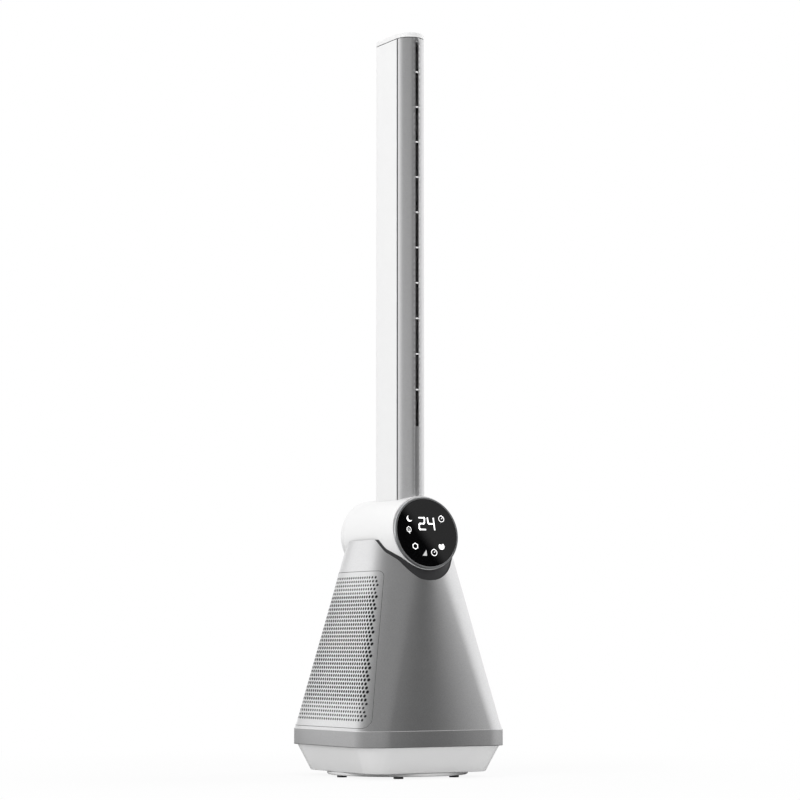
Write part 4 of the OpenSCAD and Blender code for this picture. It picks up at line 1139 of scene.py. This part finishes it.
        def depth(points: np.ndarray, normals: np.ndarray) -> np.ndarray:
            """Wall that thins where the saddle comes close."""
            slant = np.maximum(np.abs(normals[:, 0]), self.least_slant)
            return np.clip(self.saddle(points) / slant, self.least_wall, self.wall)

        walls = skin(outline, windows, inner, self.around, depth)
        shop.make("body_walls", walls, Slot.SILVER_PAINT, "body_shell", backing_and_shade=Slot.BLACK_PLASTIC)

    def build_band(self, shop: Workshop) -> None:
        """Upright silver band round the walls' foot, with a ledge inside that lies on the skirt.

        Args:
            shop: Where the pieces are made.
        """
        half, radius, curve, edge = self.band_half, self.band_corner_r, self.band_round, self.band_edge
        low, top, ledge_z = self.band_low_z, self.low_z, self.band_low_z + self.wall
        inner = self.low_half - self.wall - half
        profile = [(0.0, low + curve + self.band_lip), *rounding((-curve, top - curve), curve, 0, 90, 4),
                   (inner, top), (-self.wall, ledge_z), (-self.ledge, ledge_z), (-self.ledge, low),
                   *rounding((-edge, low + edge), edge, -90, 0, 3)]
        rings = [rounded_plan(half + out, half + out, radius + out, z) for out, z in profile]
        band = loft(rings, closed=True)
        self.crown_wall(band, half, radius)
        shop.make("body_band", band, Slot.SILVER_PAINT)

    def crown_wall(self, form: Form, half: float, radius: float) -> None:
        """Turn the normals of a form's upright outer faces as if its flat sides were gently crowned.

        Args:
            form: The form, whose normals are changed.
            half: Half width of its square plan.
            radius: Corner radius of the plan.
        """
        centre = half - radius
        for number, face in enumerate(form.faces):
            points = form.points[list(face)]
            core = np.clip(points[:, :2], -centre, centre)
            off = points[:, :2] - core
            if np.min(np.hypot(*off.T)) > radius - 0.01 and np.ptp(points[:, 2]) > 1:
                angle = np.arctan2(off[:, 1], off[:, 0])
                share = (core[:, 1] * np.cos(angle) - core[:, 0] * np.sin(angle)) / centre
                shown = angle + math.radians(self.crown) * share
                form.normals[number] = np.column_stack([np.cos(shown), np.sin(shown), 0 * shown])

    def build_grille(self, shop: Workshop, side: Side) -> None:
        """One perforated panel, a little sunk in its seam, and behind it a dark filter sheet that paints
        shade.

        Args:
            shop: Where the pieces are made.
            side: The side that it is on.
        """
        name = f"{side.name.lower()}_grille"
        through, blind = self.hole_rows()
        step = self.grid_step
        inner = np.array([(y, self.panel_z + step)
                          for y in np.arange(-self.panel_reach, self.panel_reach + TINY, step)])
        front = partial(self.side_at, side=side, inset=self.panel_recess)
        pits = Pits(blind, self.dimple_depth)
        panel = skin(self.panel_outline(0.0), through, inner, front, self.sheet, pits)
        # The dark slot on the unpainted faces also paints shade in the blind dimples.
        shop.make(f"{name}_panel", panel, Slot.SILVER_PAINT, name, crease=40.0, backing_and_shade=Slot.BLACK_PLASTIC)
        # Painted shade: a dark sheet behind the holes, also a dust filter, keeps the view through them
        # black.
        behind = partial(self.side_at, side=side, inset=self.panel_recess + self.sheet + self.filter_shade_gap)
        edge = self.panel_outline(-self.filter_shade_inset)
        heights = np.arange(self.panel_z + 2 * step, self.panel_top_z - self.filter_shade_step, self.filter_shade_step)
        depths = np.arange(-self.filter_shade_reach, self.filter_shade_reach + TINY, step)
        grid = np.array([(y, z) for z in heights for y in depths if inside_outline((y, z), edge, 0.0)])
        shop.make(f"{name}_lining", skin(edge, [], grid, behind, self.filter_shade_t), Slot.BLACK_PLASTIC)

    def build_collar(self, shop: Workshop) -> None:
        """Dark collar that closes the gap between the saddle and the neck.

        Args:
            shop: Where the pieces are made.
        """
        places = self.distances()
        top = self.cut_height(places, Neck().clearance, self.top_z - self.collar_drop, self.collar_inset)
        outline, inner = self.ring_plan(self.collar_low_z, top, places, [], 5.0)
        form = skin(outline, [], inner, partial(self.around, inset=self.collar_inset), self.collar_wall)
        shop.make("neck_seat", form, Slot.DARK_PLASTIC, "neck_collar")

    def build_skirt(self, shop: Workshop) -> None:
        """White flared skirt with the floor that turns on the spindle.

        Args:
            shop: Where the pieces are made.
        """
        def ring(z: float, inset: float) -> np.ndarray:
            """Plan of the flared wall at a height, drawn in.

            Args:
                z: The height.
                inset: Distance by which it is drawn in.

            Returns:
                The ring's points.
            """
            share = (z - self.skirt_low_z) / (self.band_low_z - self.skirt_low_z)
            half = blend(self.skirt_low_half, self.skirt_top_half, share) - inset
            return rounded_plan(half, half, blend(self.skirt_low_r, self.corner_r, share) - inset, z)

        def hole(z: float) -> np.ndarray:
            """Bore of the spindle, with as many points as the wall's plan."""
            return rounded_plan(self.spindle_bore, self.spindle_bore, self.spindle_bore - TINY, z)

        curve, low, top = self.skirt_round, self.skirt_low_z, self.band_low_z
        floor_top = self.floor_z + self.wall
        rings = [hole(self.floor_z), ring(self.floor_z, self.wall), ring(low, self.wall)]
        rings += [ring(z, inset) for inset, z in rounding((curve, low + curve), curve, 270, 180, 3)]
        rings += [ring(top, 0.0), ring(top, self.wall), ring(floor_top, self.wall), hole(floor_top)]
        shop.make("skirt", loft(rings, closed=True), Slot.WHITE_PLASTIC, "base_pan")


@dataclass
class Neck:
    """The round white neck with its rear cap and the display on its tilted front."""

    axis_z: float = 299.0
    radius: float = 45.8
    wall: float = 2.5
    rear_y: float = 60.0
    cap_t: float = 6.0
    cap_round: float = 3.0
    face_y: float = -70.7
    tilt: float = 10.5
    ring_r: float = 45.0
    ring_t: float = 3.7
    ring_round: float = 0.5
    groove: float = 0.8
    spigot_r: float = 41.8
    spigot_end: float = 9.0
    glass_r: float = 42.6
    glass_inset: float = 0.2
    glass_t: float = 1.8
    swell: float = 3.2
    swell_drop: float = 4.0
    swell_half: float = 50.0
    swell_front: float = 66.2
    seat_gap: float = 0.05
    column_gap: float = 0.25
    seat_margin: float = 2.0
    seat_front: float = -50.0
    seat_rear: float = 38.0
    cap_floor: float = 3.5
    cap_lip: float = 6.0
    cap_gap: float = 0.15
    cap_bevel: float = 0.3
    spigot_wall: float = 1.6
    glass_gap: float = 0.1
    glass_round: float = 0.4

    def swollen(self, depth: np.ndarray) -> tuple[np.ndarray, np.ndarray]:
        """How much of the swell is reached at places along the neck, and how it changes there.

        Args:
            depth: Places along the neck.

        Returns:
            The shares, and their change with the depth.
        """
        ends = (-self.swell_front, -self.swell_half, self.swell_half, self.rear_y)
        growing = (depth > ends[0]) & (depth < ends[1])
        falling = (depth > ends[2]) & (depth < ends[3])
        change = growing / (ends[1] - ends[0]) - falling / (ends[3] - ends[2])
        return np.interp(depth, ends, (0, 1, 1, 0)), change

    def clearance(self, points: np.ndarray) -> np.ndarray:
        """Clearance of points from the swollen neck.

        Args:
            points: Points anywhere.

        Returns:
            Their distances from it, negative within.
        """
        share, _ = self.swollen(points[:, 1])
        found = [np.hypot(points[:, 0], points[:, 2] - self.axis_z + self.swell_drop * share * part)
                 - self.radius - self.swell * share * part - self.seat_gap for part in np.linspace(0, 1, 6)]
        return np.min(found, axis=0)

    def from_face(self, points: np.ndarray) -> np.ndarray:
        """Carry points from the display's own frame (+X right, +Y up the glass, +Z back) into the fan's.

        Args:
            points: Points in the display's frame.

        Returns:
            The same points in the fan's.
        """
        cos, sin = math.cos(math.radians(self.tilt)), math.sin(math.radians(self.tilt))
        x, y, z = points.T
        return np.column_stack([x, self.face_y + z * cos + y * sin, self.axis_z - z * sin + y * cos])

    def front_at(self, height: np.ndarray) -> np.ndarray:
        """How far forward the neck's tilted front end is, at heights above its axis."""
        tilt = math.radians(self.tilt)
        return self.face_y + (self.ring_t + self.groove) / math.cos(tilt) + height * math.tan(tilt)

    def along(self, plan: np.ndarray) -> tuple[np.ndarray, np.ndarray]:
        """Points and normals of the neck over (distance round it from the top, depth) points.

        Args:
            plan: Distances round the neck, and depths.

        Returns:
            The points and the outward normals.
        """
        angle, depth = plan[:, 0] / self.radius, plan[:, 1]
        share, change = self.swollen(depth)
        low = np.cos(angle) * self.swell_drop < self.swell
        share, change = share * low, change * low
        out = np.column_stack([np.sin(angle), np.zeros(len(angle)), np.cos(angle)])
        points = out * (self.radius + self.swell * share)[:, None]
        points += np.column_stack([0 * angle, depth, self.axis_z - self.swell_drop * share])
        out[:, 1] = (self.swell_drop * np.cos(angle) - self.swell) * change
        return points, unit(out)

    def build(self, shop: Workshop) -> None:
        """Make the neck, its rear cap, the ring, the glass and the signs.

        Args:
            shop: Where the pieces are made.
        """
        self.build_tube(shop)
        self.build_rear_cap(shop)
        self.build_display(shop)

    def build_tube(self, shop: Workshop) -> None:
        """The neck's tube, open at the top where the column stands in it.

        Args:
            shop: Where the pieces are made.
        """
        half_turn = math.pi * self.radius
        rounds = np.linspace(-half_turn, half_turn, 145)
        fronts = self.front_at(self.radius * np.cos(rounds / self.radius))
        rows = 24
        outline = [*zip(rounds, fronts)]
        outline += [(half_turn, y) for y in np.linspace(fronts[-1], self.rear_y, rows)[1:-1]]
        outline += [*zip(rounds[::-1], np.full(len(rounds), self.rear_y))]
        outline += [(-half_turn, y) for y in np.linspace(self.rear_y, fronts[0], rows)[1:-1]]
        column = Column()
        seat = [(math.asin(x / self.radius) * self.radius, y) for x, y in column.plan(-self.column_gap, 24)]
        inner = [(s, y) for s, front in zip(rounds[1:-1], fronts[1:-1])
                 for y in np.linspace(front, self.rear_y, rows)[1:-1]
                 if abs(s) > column.half + self.seat_margin or not self.seat_front < y < self.seat_rear]
        form = skin(np.array(outline), [np.array(seat)], np.array(inner), self.along, self.wall)
        shop.make("neck_tube", form, Slot.WHITE_PLASTIC, "neck_housing")

    def build_rear_cap(self, shop: Workshop) -> None:
        """Plain round cap on the neck's rear end.

        Args:
            shop: Where the pieces are made.
        """
        curve, gap, lip_r = self.cap_round, self.cap_gap, self.radius - self.wall - self.cap_gap
        edge = rounding((self.radius - curve, self.cap_t - curve), curve, 0, 90, 8)
        profile = [(0, self.cap_t), (0, self.cap_floor), (lip_r - self.wall, self.cap_floor),
                   (lip_r - self.wall, -self.cap_lip), (lip_r, -self.cap_lip), (lip_r, gap),
                   (self.radius - self.cap_bevel, gap), (self.radius, gap + self.cap_bevel), *edge]

        def place(points: np.ndarray) -> np.ndarray:
            """Turn the profile's axis to lie along the neck."""
            return np.column_stack([points[:, 0], self.rear_y + points[:, 2], self.axis_z - points[:, 1]])

        cap = lathe(profile, 144).moved(place).outward()
        shop.make("rear_cap", cap, Slot.WHITE_PLASTIC, "neck_rear_cap")

    def build_display(self, shop: Workshop) -> None:
        """Silver ring, black glass and the lit signs on it.

        Args:
            shop: Where the pieces are made.
        """
        inner_r, curve, lead = self.glass_r + self.glass_gap, self.ring_round, 0.6 * self.ring_round
        glass_back, bore = self.glass_inset + self.glass_t, self.spigot_r - self.spigot_wall
        profile = [(inner_r, glass_back), *rounding((inner_r + lead, lead), lead, 180, 270, 4),
                   *rounding((self.ring_r - curve, curve), curve, 270, 360, 5), (self.ring_r, self.ring_t),
                   (self.spigot_r, self.ring_t), (self.spigot_r, self.spigot_end), (bore, self.spigot_end),
                   (bore, glass_back)]
        ring = lathe(profile, 160).moved(self.from_face).outward()
        shop.make("display_rim", ring, Slot.RING_METAL, "display_ring")
        edge, front = self.glass_round, self.glass_inset
        face = [(0, front), *rounding((self.glass_r - edge, front + edge), edge, 270, 360, 4),
                (self.glass_r, glass_back), (0, glass_back)]
        glass = lathe(face, 160).moved(self.from_face).outward()
        shop.make("display_face", glass, Slot.DISPLAY_GLASS, "display_glass")
        for signs in (LIT_SIGNS, DIM_SIGNS):
            form = signs.form().moved(self.from_face)
            shop.make(signs.glow.name, form, Slot.DISPLAY_GLASS, material=signs.glow.build(), crease=30.0)


@dataclass(frozen=True)
class Signs:
    """Flat signs on the glass, in the display's own frame."""

    glow: Glow
    strokes: tuple[tuple[float, tuple[tuple[float, float], ...]], ...] = ()
    rings: tuple[tuple[float, float, float, float], ...] = ()
    fills: tuple[tuple[tuple[float, float], ...], ...] = ()
    front: float = 0.08
    back: float = 0.19

    def form(self) -> Form:
        """Make all the signs as thin plates.

        Returns:
            One form of closed plates, slightly in front of the glass.
        """
        outlines = [*self.fills]
        for width, points in self.strokes:
            outlines += [self.bar(np.array(a), np.array(b), width / 2) for a, b in zip(points, points[1:])]
        plates = [prism(outline, self.front, self.back) for outline in outlines]
        for x, y, radius, width in self.rings:
            inner, outer = (circle((x, y), radius + out * width / 2, 48) for out in (-1, 1))
            plates.append(loft([level_ring(inner, self.front), level_ring(outer, self.front),
                                level_ring(outer, self.back), level_ring(inner, self.back)], closed=True))
        return Form.joined(plates).outward()

    @staticmethod
    def bar(start: np.ndarray, end: np.ndarray, half: float) -> list[tuple[float, float]]:
        """Outline of a bar with round ends.

        Args:
            start: Middle of one end.
            end: Middle of the other.
            half: Half its width.

        Returns:
            The outline's points.
        """
        turn = math.degrees(math.atan2(*(end - start)[::-1]))
        return [*rounding(tuple(end), half, turn - 90, turn + 90, 8),
                *rounding(tuple(start), half, turn + 90, turn + 270, 8)]


def crescent(centre: tuple[float, float], radius: float, bite: tuple[float, float],
             bite_r: float) -> tuple[tuple[float, float], ...]:
    """Outline of a disc with a second disc bitten out of it.

    Args:
        centre: Centre of the disc.
        radius: Its radius.
        bite: Centre of the second disc.
        bite_r: Radius of the second disc.

    Returns:
        The outline's points.
    """
    apart = math.dist(centre, bite)
    way = math.degrees(math.atan2(bite[1] - centre[1], bite[0] - centre[0]))
    half = math.degrees(math.acos((radius ** 2 + apart ** 2 - bite_r ** 2) / (2 * radius * apart)))
    bite_half = math.degrees(math.acos((bite_r ** 2 + apart ** 2 - radius ** 2) / (2 * bite_r * apart)))
    outer = rounding(centre, radius, way + half, way + 360 - half, 24)
    inner = rounding(bite, bite_r, way + 180 + bite_half, way + 180 - bite_half, 14)
    return tuple((*outer, *inner[1:-1]))


LEAF = ((-3.2, 4.0), (-1.0, 3.0), (0.4, 2.7), (2.0, 4.2), (3.8, 3.6), (4.6, 1.5), (4.4, -1.5), (3.2, -3.4),
        (0.0, -4.3), (-2.8, -3.6), (-4.5, -1.0), (-4.6, 2.0))
LIT_SIGNS = Signs(
    Glow("lit_signs", WHITE[:3], 1.0),
    strokes=(
        (1.7, ((-9.4, 18.8), (-2.2, 18.8), (-1.6, 17.6), (-2.4, 12.4), (-3.4, 11.4), (-8.8, 11.4),
               (-9.9, 10.2), (-10.3, 5.2), (-9.4, 4.0), (-1.6, 4.0))),
        (1.7, ((2.7, 18.7), (3.2, 12.5), (4.2, 11.4), (11.4, 11.4))),
        (1.7, ((11.2, 18.6), (11.7, 4.2))),
        (0.8, ((22.6, 22.2), (23.2, 22.2))), (0.6, ((22.8, 18.0), (24.6, 19.9))),
        (0.8, ((7.5, -20.6), (8.1, -20.6))), (0.6, ((7.8, -24.8), (9.4, -23.2))),
        (0.5, ((-25.2, 7.5), (-27.8, 5.4), (-28.3, 3.2), (-27.0, 1.0), (-25.0, 0.2), (-23.0, 1.4),
               (-22.2, 3.6), (-22.8, 5.6), (-25.2, 7.5))),
        (0.5, ((-25.4, 4.6), (-24.9, 0.4), (-24.5, -1.4))),
        (0.75, ((-18.5, -13.4), (-15.2, -15.4), (-15.2, -19.1), (-18.5, -21.0), (-21.8, -19.1),
                (-21.8, -15.4), (-18.5, -13.4))),
    ),
    rings=((22.8, 18.0, 3.7, 0.65), (7.8, -24.8, 3.9, 0.7)),
    fills=(crescent((-23.2, 17.4), 3.9, (-21.6, 18.7), 3.55),
           tuple((19.3 + 0.86 * x, -17.3 + 0.86 * y) for x, y in LEAF)),
)
DIM_SIGNS = Signs(Glow("dim_signs", (0.45, 0.45, 0.45), 0.6),
                  fills=(((-9.3, -29.0), (-3.0, -29.0), (-3.2, -21.5)),))


def inside_outline(point: tuple[float, float], outline: np.ndarray, margin: float) -> bool:
    """Whether a point is inside an outline or closer to it than a margin.

    Args:
        point: The point.
        outline: Points of a closed outline.
        margin: The margin.

    Returns:
        True where it is.
    """
    x, y = point
    x0, y0 = outline[:, 0], outline[:, 1]
    x1, y1 = np.roll(x0, -1), np.roll(y0, -1)
    crosses = (y0 > y) != (y1 > y)
    with np.errstate(divide="ignore", invalid="ignore"):
        at = x0 + (y - y0) / (y1 - y0) * (x1 - x0)
    if int(np.sum(crosses & (x < at))) % 2:
        return True
    side = np.column_stack([x1 - x0, y1 - y0])
    off = np.column_stack([x - x0, y - y0])
    share = np.clip(np.sum(off * side, axis=1) / np.maximum(np.sum(side * side, axis=1), TINY), 0, 1)
    return bool(np.min(np.hypot(*(off - side * share[:, None]).T)) < margin)


@dataclass
class Column:
    """The tall air column: white shell, silver front, nozzle strip, seal and cap."""

    half: float = 18.6
    nose: float = 28.6
    tail: float = 17.0
    foot_z: float = 328.99
    top_z: float = 925.5
    shell_wall: float = 2.0
    front_wall: float = 3.0
    seam: float = 3.0
    strip_half: float = 5.0
    strip_raise: float = 0.6
    strip_foot_z: float = 343.99
    strip_t: float = 2.1
    strip_seam: float = 0.2
    strip_step: float = 8.0
    strip_columns: tuple[float, float, float] = (3.0, 4.0, 4.6)
    edge_w: float = 0.4
    edge_drop: float = 0.25
    edge_lean: float = 0.7
    channel_t: float = 1.5
    bridge_t: float = 1.6
    seam_shade_depth: float = 0.5
    slot_gap: float = 0.4
    slot_half: float = 2.05
    slot_z: float = 432.3
    slot_top_z: float = 923.1
    rib_rise: float = 46.0
    rib_pitch: float = 44.8
    rib_t: float = 1.8
    rib_nose: float = 0.05
    rib_inset: float = 0.2
    rib_depth: float = 2.0
    ribs: int = 10
    seal_t: float = 1.0
    seal_inset: float = 0.5
    cap_h: float = 8.0
    cap_round: float = 3.0
    cap_bevel: float = 0.3
    plug_gap: float = 0.15
    plug_depth: float = 6.0

    def build(self, shop: Workshop) -> None:
        """Make the column's pieces from its foot up.

        Args:
            shop: Where the pieces are made.
        """
        self.build_shell(shop)
        self.build_front(shop)
        self.build_strip(shop)
        self.build_cap(shop)

    def plan(self, inset: float, steps: int = 36) -> list[tuple[float, float]]:
        """Outline of the column, drawn in: two half circles joined front to back.

        Args:
            inset: Distance by which it is drawn in.
            steps: Segments of each half circle.

        Returns:
            The outline's points.
        """
        radius = self.half - inset
        return [*rounding((0.0, self.tail), radius, 0, 180, steps),
                *rounding((0.0, -self.nose), radius, 180, 360, steps)]

    def upright(self, outline: Sequence[tuple[float, float]]) -> Form:
        """Form on an outline, as tall as the column."""
        return prism(outline, self.foot_z, self.top_z)

    def build_shell(self, shop: Workshop) -> None:
        """White U-shaped shell round the column's sides and back.

        Args:
            shop: Where the pieces are made.
        """
        inner = self.half - self.shell_wall
        outline = [(self.half, -self.nose), *rounding((0.0, self.tail), self.half, 0, 180, 36),
                   (-self.half, -self.nose), (-inner, -self.nose),
                   *rounding((0.0, self.tail), inner, 180, 0, 36), (inner, -self.nose)]
        shop.make("column_white", self.upright(outline), Slot.WHITE_PLASTIC, "column_shell")

    def build_front(self, shop: Workshop) -> None:
        """Silver front of the column, open along the slot, and painted shade in the seam down each of its
        sides.

        Args:
            shop: Where the pieces are made.
        """
        start = math.degrees(math.asin(self.seam / self.half))
        inner_r = self.half - self.front_wall
        channel = self.strip_half + self.strip_seam
        floor_y = -math.sqrt((self.half - self.channel_t) ** 2 - channel ** 2) - self.nose
        edge = math.degrees(math.acos(channel / self.half))
        slot = self.slot_half + self.slot_gap
        slot_edge = math.degrees(math.acos(slot / inner_r))
        halves = []
        for side in (-1, 1):
            outer = rounding((0.0, -self.nose), self.half, -start, -edge, 20)
            back = rounding((0.0, -self.nose), inner_r, -slot_edge, -start, 20)
            points = [*outer, (channel, floor_y), (slot, floor_y), *back]
            halves.append(self.upright([(side * x, y) for x, y in points]))
        back_y = floor_y + self.bridge_t
        bridge = [(-slot, floor_y), (slot, floor_y), (slot, back_y), (-slot, back_y)]
        halves += [prism(bridge, self.foot_z, self.slot_z), prism(bridge, self.slot_top_z, self.top_z)]
        shop.make("column_silver", Form.joined(halves), Slot.SILVER_PAINT, "column_front")
        # Painted shade: a dark strip set in each seam gap beside the silver front, where there is only
        # shadow.
        front, back = self.half - self.seam_shade_depth, self.half - self.shell_wall
        seam_y = -self.nose - self.seam
        shade_strip = [(front, seam_y), (front, -self.nose), (back, -self.nose), (back, seam_y)]
        shade_strips = [self.upright([(side * x, y) for x, y in shade_strip]) for side in (-1, 1)]
        shop.make("column_seam_shade", Form.joined(shade_strips), Slot.DARK_PLASTIC)

    def build_strip(self, shop: Workshop) -> None:
        """Raised nozzle strip with the air slot, crossed by its ribs.

        Args:
            shop: Where the pieces are made.
        """
        radius = self.half + self.strip_raise
        half, low, top = self.slot_half, self.slot_z, self.slot_top_z
        step = self.strip_step
        slot = densified(np.array([(-half, low), (half, low), (half, top), (-half, top)]), step)
        wide, foot = self.strip_half, self.strip_foot_z
        corners = [(-wide, foot), (wide, foot), (wide, self.top_z), (-wide, self.top_z)]
        outline = densified(np.array(corners), step)
        columns = [(side * x, z) for side in (-1, 1) for x in self.strip_columns
                   for z in np.arange(foot + 0.75 * step, self.top_z - step / 2, step)]

        def surface(plan: np.ndarray) -> tuple[np.ndarray, np.ndarray]:
            """Part of a cylinder, with softened edges.

            Args:
                plan: Places across the strip, and heights.

            Returns:
                The points and the outward normals.
            """
            x, z = plan.T
            down = np.sqrt(radius ** 2 - x ** 2)
            soft = np.clip((np.abs(x) - wide) / self.edge_w + 1, 0, 1)
            points = np.column_stack([x, -self.nose - down + self.edge_drop * soft ** 2, z])
            lean = x / radius + self.edge_lean * soft * np.sign(x)
            normals = np.column_stack([lean, -down / radius, 0 * z])
            return points, unit(normals)

        form = skin(outline, [slot], np.array(columns), surface, self.strip_t)
        shop.make("nozzle", form, Slot.SILVER_PAINT, "nozzle_strip")
        front = -self.nose - radius
        edge_y, back_y = front + self.rib_inset, front + self.rib_depth
        nose_y = front + self.rib_nose
        plan = [(-half, edge_y), (0.0, nose_y), (half, edge_y), (half, back_y), (-half, back_y)]
        middles = [low + self.rib_rise + number * self.rib_pitch for number in range(self.ribs)]
        bars = [prism(plan, z - self.rib_t / 2, z + self.rib_t / 2) for z in middles]
        shop.make("nozzle_ribs", Form.joined(bars), Slot.WHITE_PLASTIC)

    def build_cap(self, shop: Workshop) -> None:
        """Dark seal and the white cap on it, rounded at its top.

        Args:
            shop: Where the pieces are made.
        """
        def ring(inset: float, z: float) -> np.ndarray:
            """Plan of the column at a height, drawn in."""
            return level_ring(self.plan(inset), z)

        cap_z, curve, bevel = self.top_z + self.seal_t, self.cap_round, self.cap_bevel
        plug = self.shell_wall + self.plug_gap
        seal = loft([ring(self.seal_inset, self.top_z), ring(self.seal_inset, cap_z), ring(plug, cap_z),
                     ring(plug, self.top_z)], closed=True)
        shop.make("cap_gasket", seal, Slot.RUBBER, "cap_seal")
        rings = [ring(plug, cap_z - self.plug_depth), ring(plug, cap_z), ring(bevel, cap_z),
                 ring(0.0, cap_z + bevel)]
        crown = rounding((curve, cap_z + self.cap_h - curve), curve, 180, 90, 7)
        rings += [ring(inset, z) for inset, z in crown]
        shop.make("cap_top", loft(rings), Slot.WHITE_PLASTIC, "column_cap")


@dataclass
class Studio:
    """The plain room that the fan stands in: floor, world, lamps and camera."""

    turn: float = 30.8
    tilt: float = 5.724
    focal: float = 2467.4
    distance: float = 3.1
    eye: float = 0.1586
    side: float = -0.0030
    frame_px: float = 800.0
    floor_r: float = 14.0
    floor_tone: float = 0.73
    floor_near: float = 0.05
    floor_far: float = 0.30
    even_light: float = 0.62
    aim_z: float = 0.45

    def build(self) -> None:
        """Set up the camera, floor, world and lamps."""
        self.build_camera()
        self.build_floor()
        self.build_world()
        self.build_lamps()
        bpy.context.scene.view_settings.view_transform = "Standard"

    def viewpoint(self) -> np.ndarray:
        """Place of the camera in metres.

        Returns:
            X, Y and Z.
        """
        angle = math.radians(self.turn)
        across = np.array([math.cos(angle), -math.sin(angle), 0.0])
        ahead = np.array([math.sin(angle), math.cos(angle), 0.0])
        return np.array([0.0, 0.0, self.eye]) - across * self.side - ahead * self.distance

    def build_camera(self) -> None:
        """Camera to the left of the fan's front, low above the floor and turned up a little."""
        data = bpy.data.cameras.new("photo_camera")
        data.sensor_width = 36.0
        data.lens = self.focal / self.frame_px * data.sensor_width
        data.clip_end = 50.0
        camera = placed("photo_camera", data)
        camera.location = self.viewpoint()
        camera.rotation_euler = (math.radians(90 + self.tilt), 0.0, -math.radians(self.turn))
        bpy.context.scene.camera = camera

    def build_floor(self) -> None:
        """Pale round floor: it keeps the fan's shadow, and the silver mirrors it as dark near the fan."""
        mesh = bpy.data.meshes.new("floor")
        points = level_ring(circle((0.0, 0.0), self.floor_r, 96), 0.0)
        mesh.from_pydata(points.tolist(), [], [tuple(range(96))])
        material, net = new_material("floor")
        tone = net.mix(net.noise(net.place(), 3.0), (self.floor_tone,) * 3, (self.floor_tone + 0.03,) * 3)
        matt = net.out("ShaderNodeBsdfDiffuse", None, {"Color": tone})
        seen, mirrored = net.rays()
        distance = net.vector("LENGTH", net.place(), result="Value")
        dark = net.light(distance.ramp(0.4, 2.2) * self.floor_far + self.floor_near)
        matt = net.out("ShaderNodeMixShader", None, {0: mirrored * 0.93, 1: matt, 2: dark})
        white = seen * (distance.ramp(0.2, 0.9) * 0.10 + 0.90)
        shade = net.out("ShaderNodeMixShader", None, {0: white, 1: matt, 2: net.light(1.0)})
        net.node("ShaderNodeOutputMaterial", None, {"Surface": shade})
        mesh.materials.append(material)
        placed("floor", mesh)

    def build_world(self) -> None:
        """Room round the fan, plain white to the camera.

        What the fan mirrors is white behind it and above, grey low on its left and dark in front, with a
        panel whose straight edge shows on the glass. The rest of the light is even.
        """
        world = bpy.data.worlds.new("studio")
        bpy.context.scene.world = world
        world.use_nodes = True
        net = Net(world.node_tree)
        way = net.out("ShaderNodeTexCoord", None, None, "Generated")
        split = net.node("ShaderNodeSeparateXYZ", None, {0: way})
        right, ahead, up = (Value(net, output) for output in split.outputs)
        back = (ahead + right * 0.33).ramp(-0.48, 0.2) ** 1.4
        above = up.ramp(0.72, 0.95) * 0.7
        wall = right.ramp(-0.4, 0.45, 0.68, 0.0) * up.ramp(0.0, 0.35, 1.0, 0.24)
        panel = net.vector("DOT_PRODUCT", way, self.panel_edge(), result="Value").ramp(-0.003, 0.003)
        panel = panel * 0.28 + 0.01
        panel = panel + (1.0 - panel) * wall
        light = panel + (1.0 - panel) * (back + above - back * above)
        seen, mirrored = net.rays()
        strength = seen + (1.0 - seen) * (mirrored * light + (1.0 - mirrored) * self.even_light)
        shade = net.out("ShaderNodeBackground", None, {"Color": WHITE, "Strength": strength})
        net.node("ShaderNodeOutputWorld", None, {"Surface": shade})

    def panel_edge(self) -> tuple[float, float, float]:
        """Normal of the plane whose edge the glass mirrors as a slanted line.

        Returns:
            The direction towards the brighter side.
        """
        neck = Neck()
        tilt = math.radians(neck.tilt)
        out = np.array([0.0, -math.cos(tilt), math.sin(tilt)])
        eye = self.viewpoint() / MM

        def mirrored(x: float, y: float) -> np.ndarray:
            """Direction that the camera sees mirrored at a point of the glass.

            Args:
                x: Place across the glass in millimetres.
                y: Place up it.

            Returns:
                The direction, of length one.
            """
            point = neck.from_face(np.array([[x, y, neck.glass_inset]]))[0]
            ray = (point - eye) / np.linalg.norm(point - eye)
            return ray - 2 * float(np.dot(ray, out)) * out

        normal = np.cross(mirrored(-31.0, 28.0), mirrored(16.0, -34.0))
        normal /= np.linalg.norm(normal)
        if float(np.dot(normal, mirrored(20.0, 15.0))) < 0:
            normal = -normal
        return tuple(float(value) for value in normal)

    def build_lamps(self) -> None:
        """Three large soft lamps: from the left, from the right and from above."""
        lamps = (("left_lamp", (-2.2, -0.6, 1.7), 1.8, 26.0), ("right_lamp", (2.2, -0.4, 1.6), 1.8, 24.0),
                 ("top_lamp", (0.0, -0.6, 3.0), 2.2, 22.0))
        for name, place, size, power in lamps:
            data = bpy.data.lights.new(name, "AREA")
            data.shape = "DISK"
            data.size = size
            data.energy = power
            lamp = placed(name, data)
            lamp.visible_glossy = False
            lamp.location = place
            way = Vector((0.0, 0.0, self.aim_z)) - lamp.location
            lamp.rotation_euler = way.to_track_quat("-Z", "Y").to_euler()


def main() -> None:
    """Build the fan's looks and its studio."""
    logging.basicConfig(level=logging.INFO, format="%(name)s: %(message)s")
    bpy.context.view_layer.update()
    shop = Workshop()
    shop.mix_finishes()
    shop.dress_frame()
    Studio().build()
    for part in (Housing(), Neck(), Column()):
        part.build(shop)
        log.info("built the %s", type(part).__name__.lower())


if __name__ == "__main__":
    main()
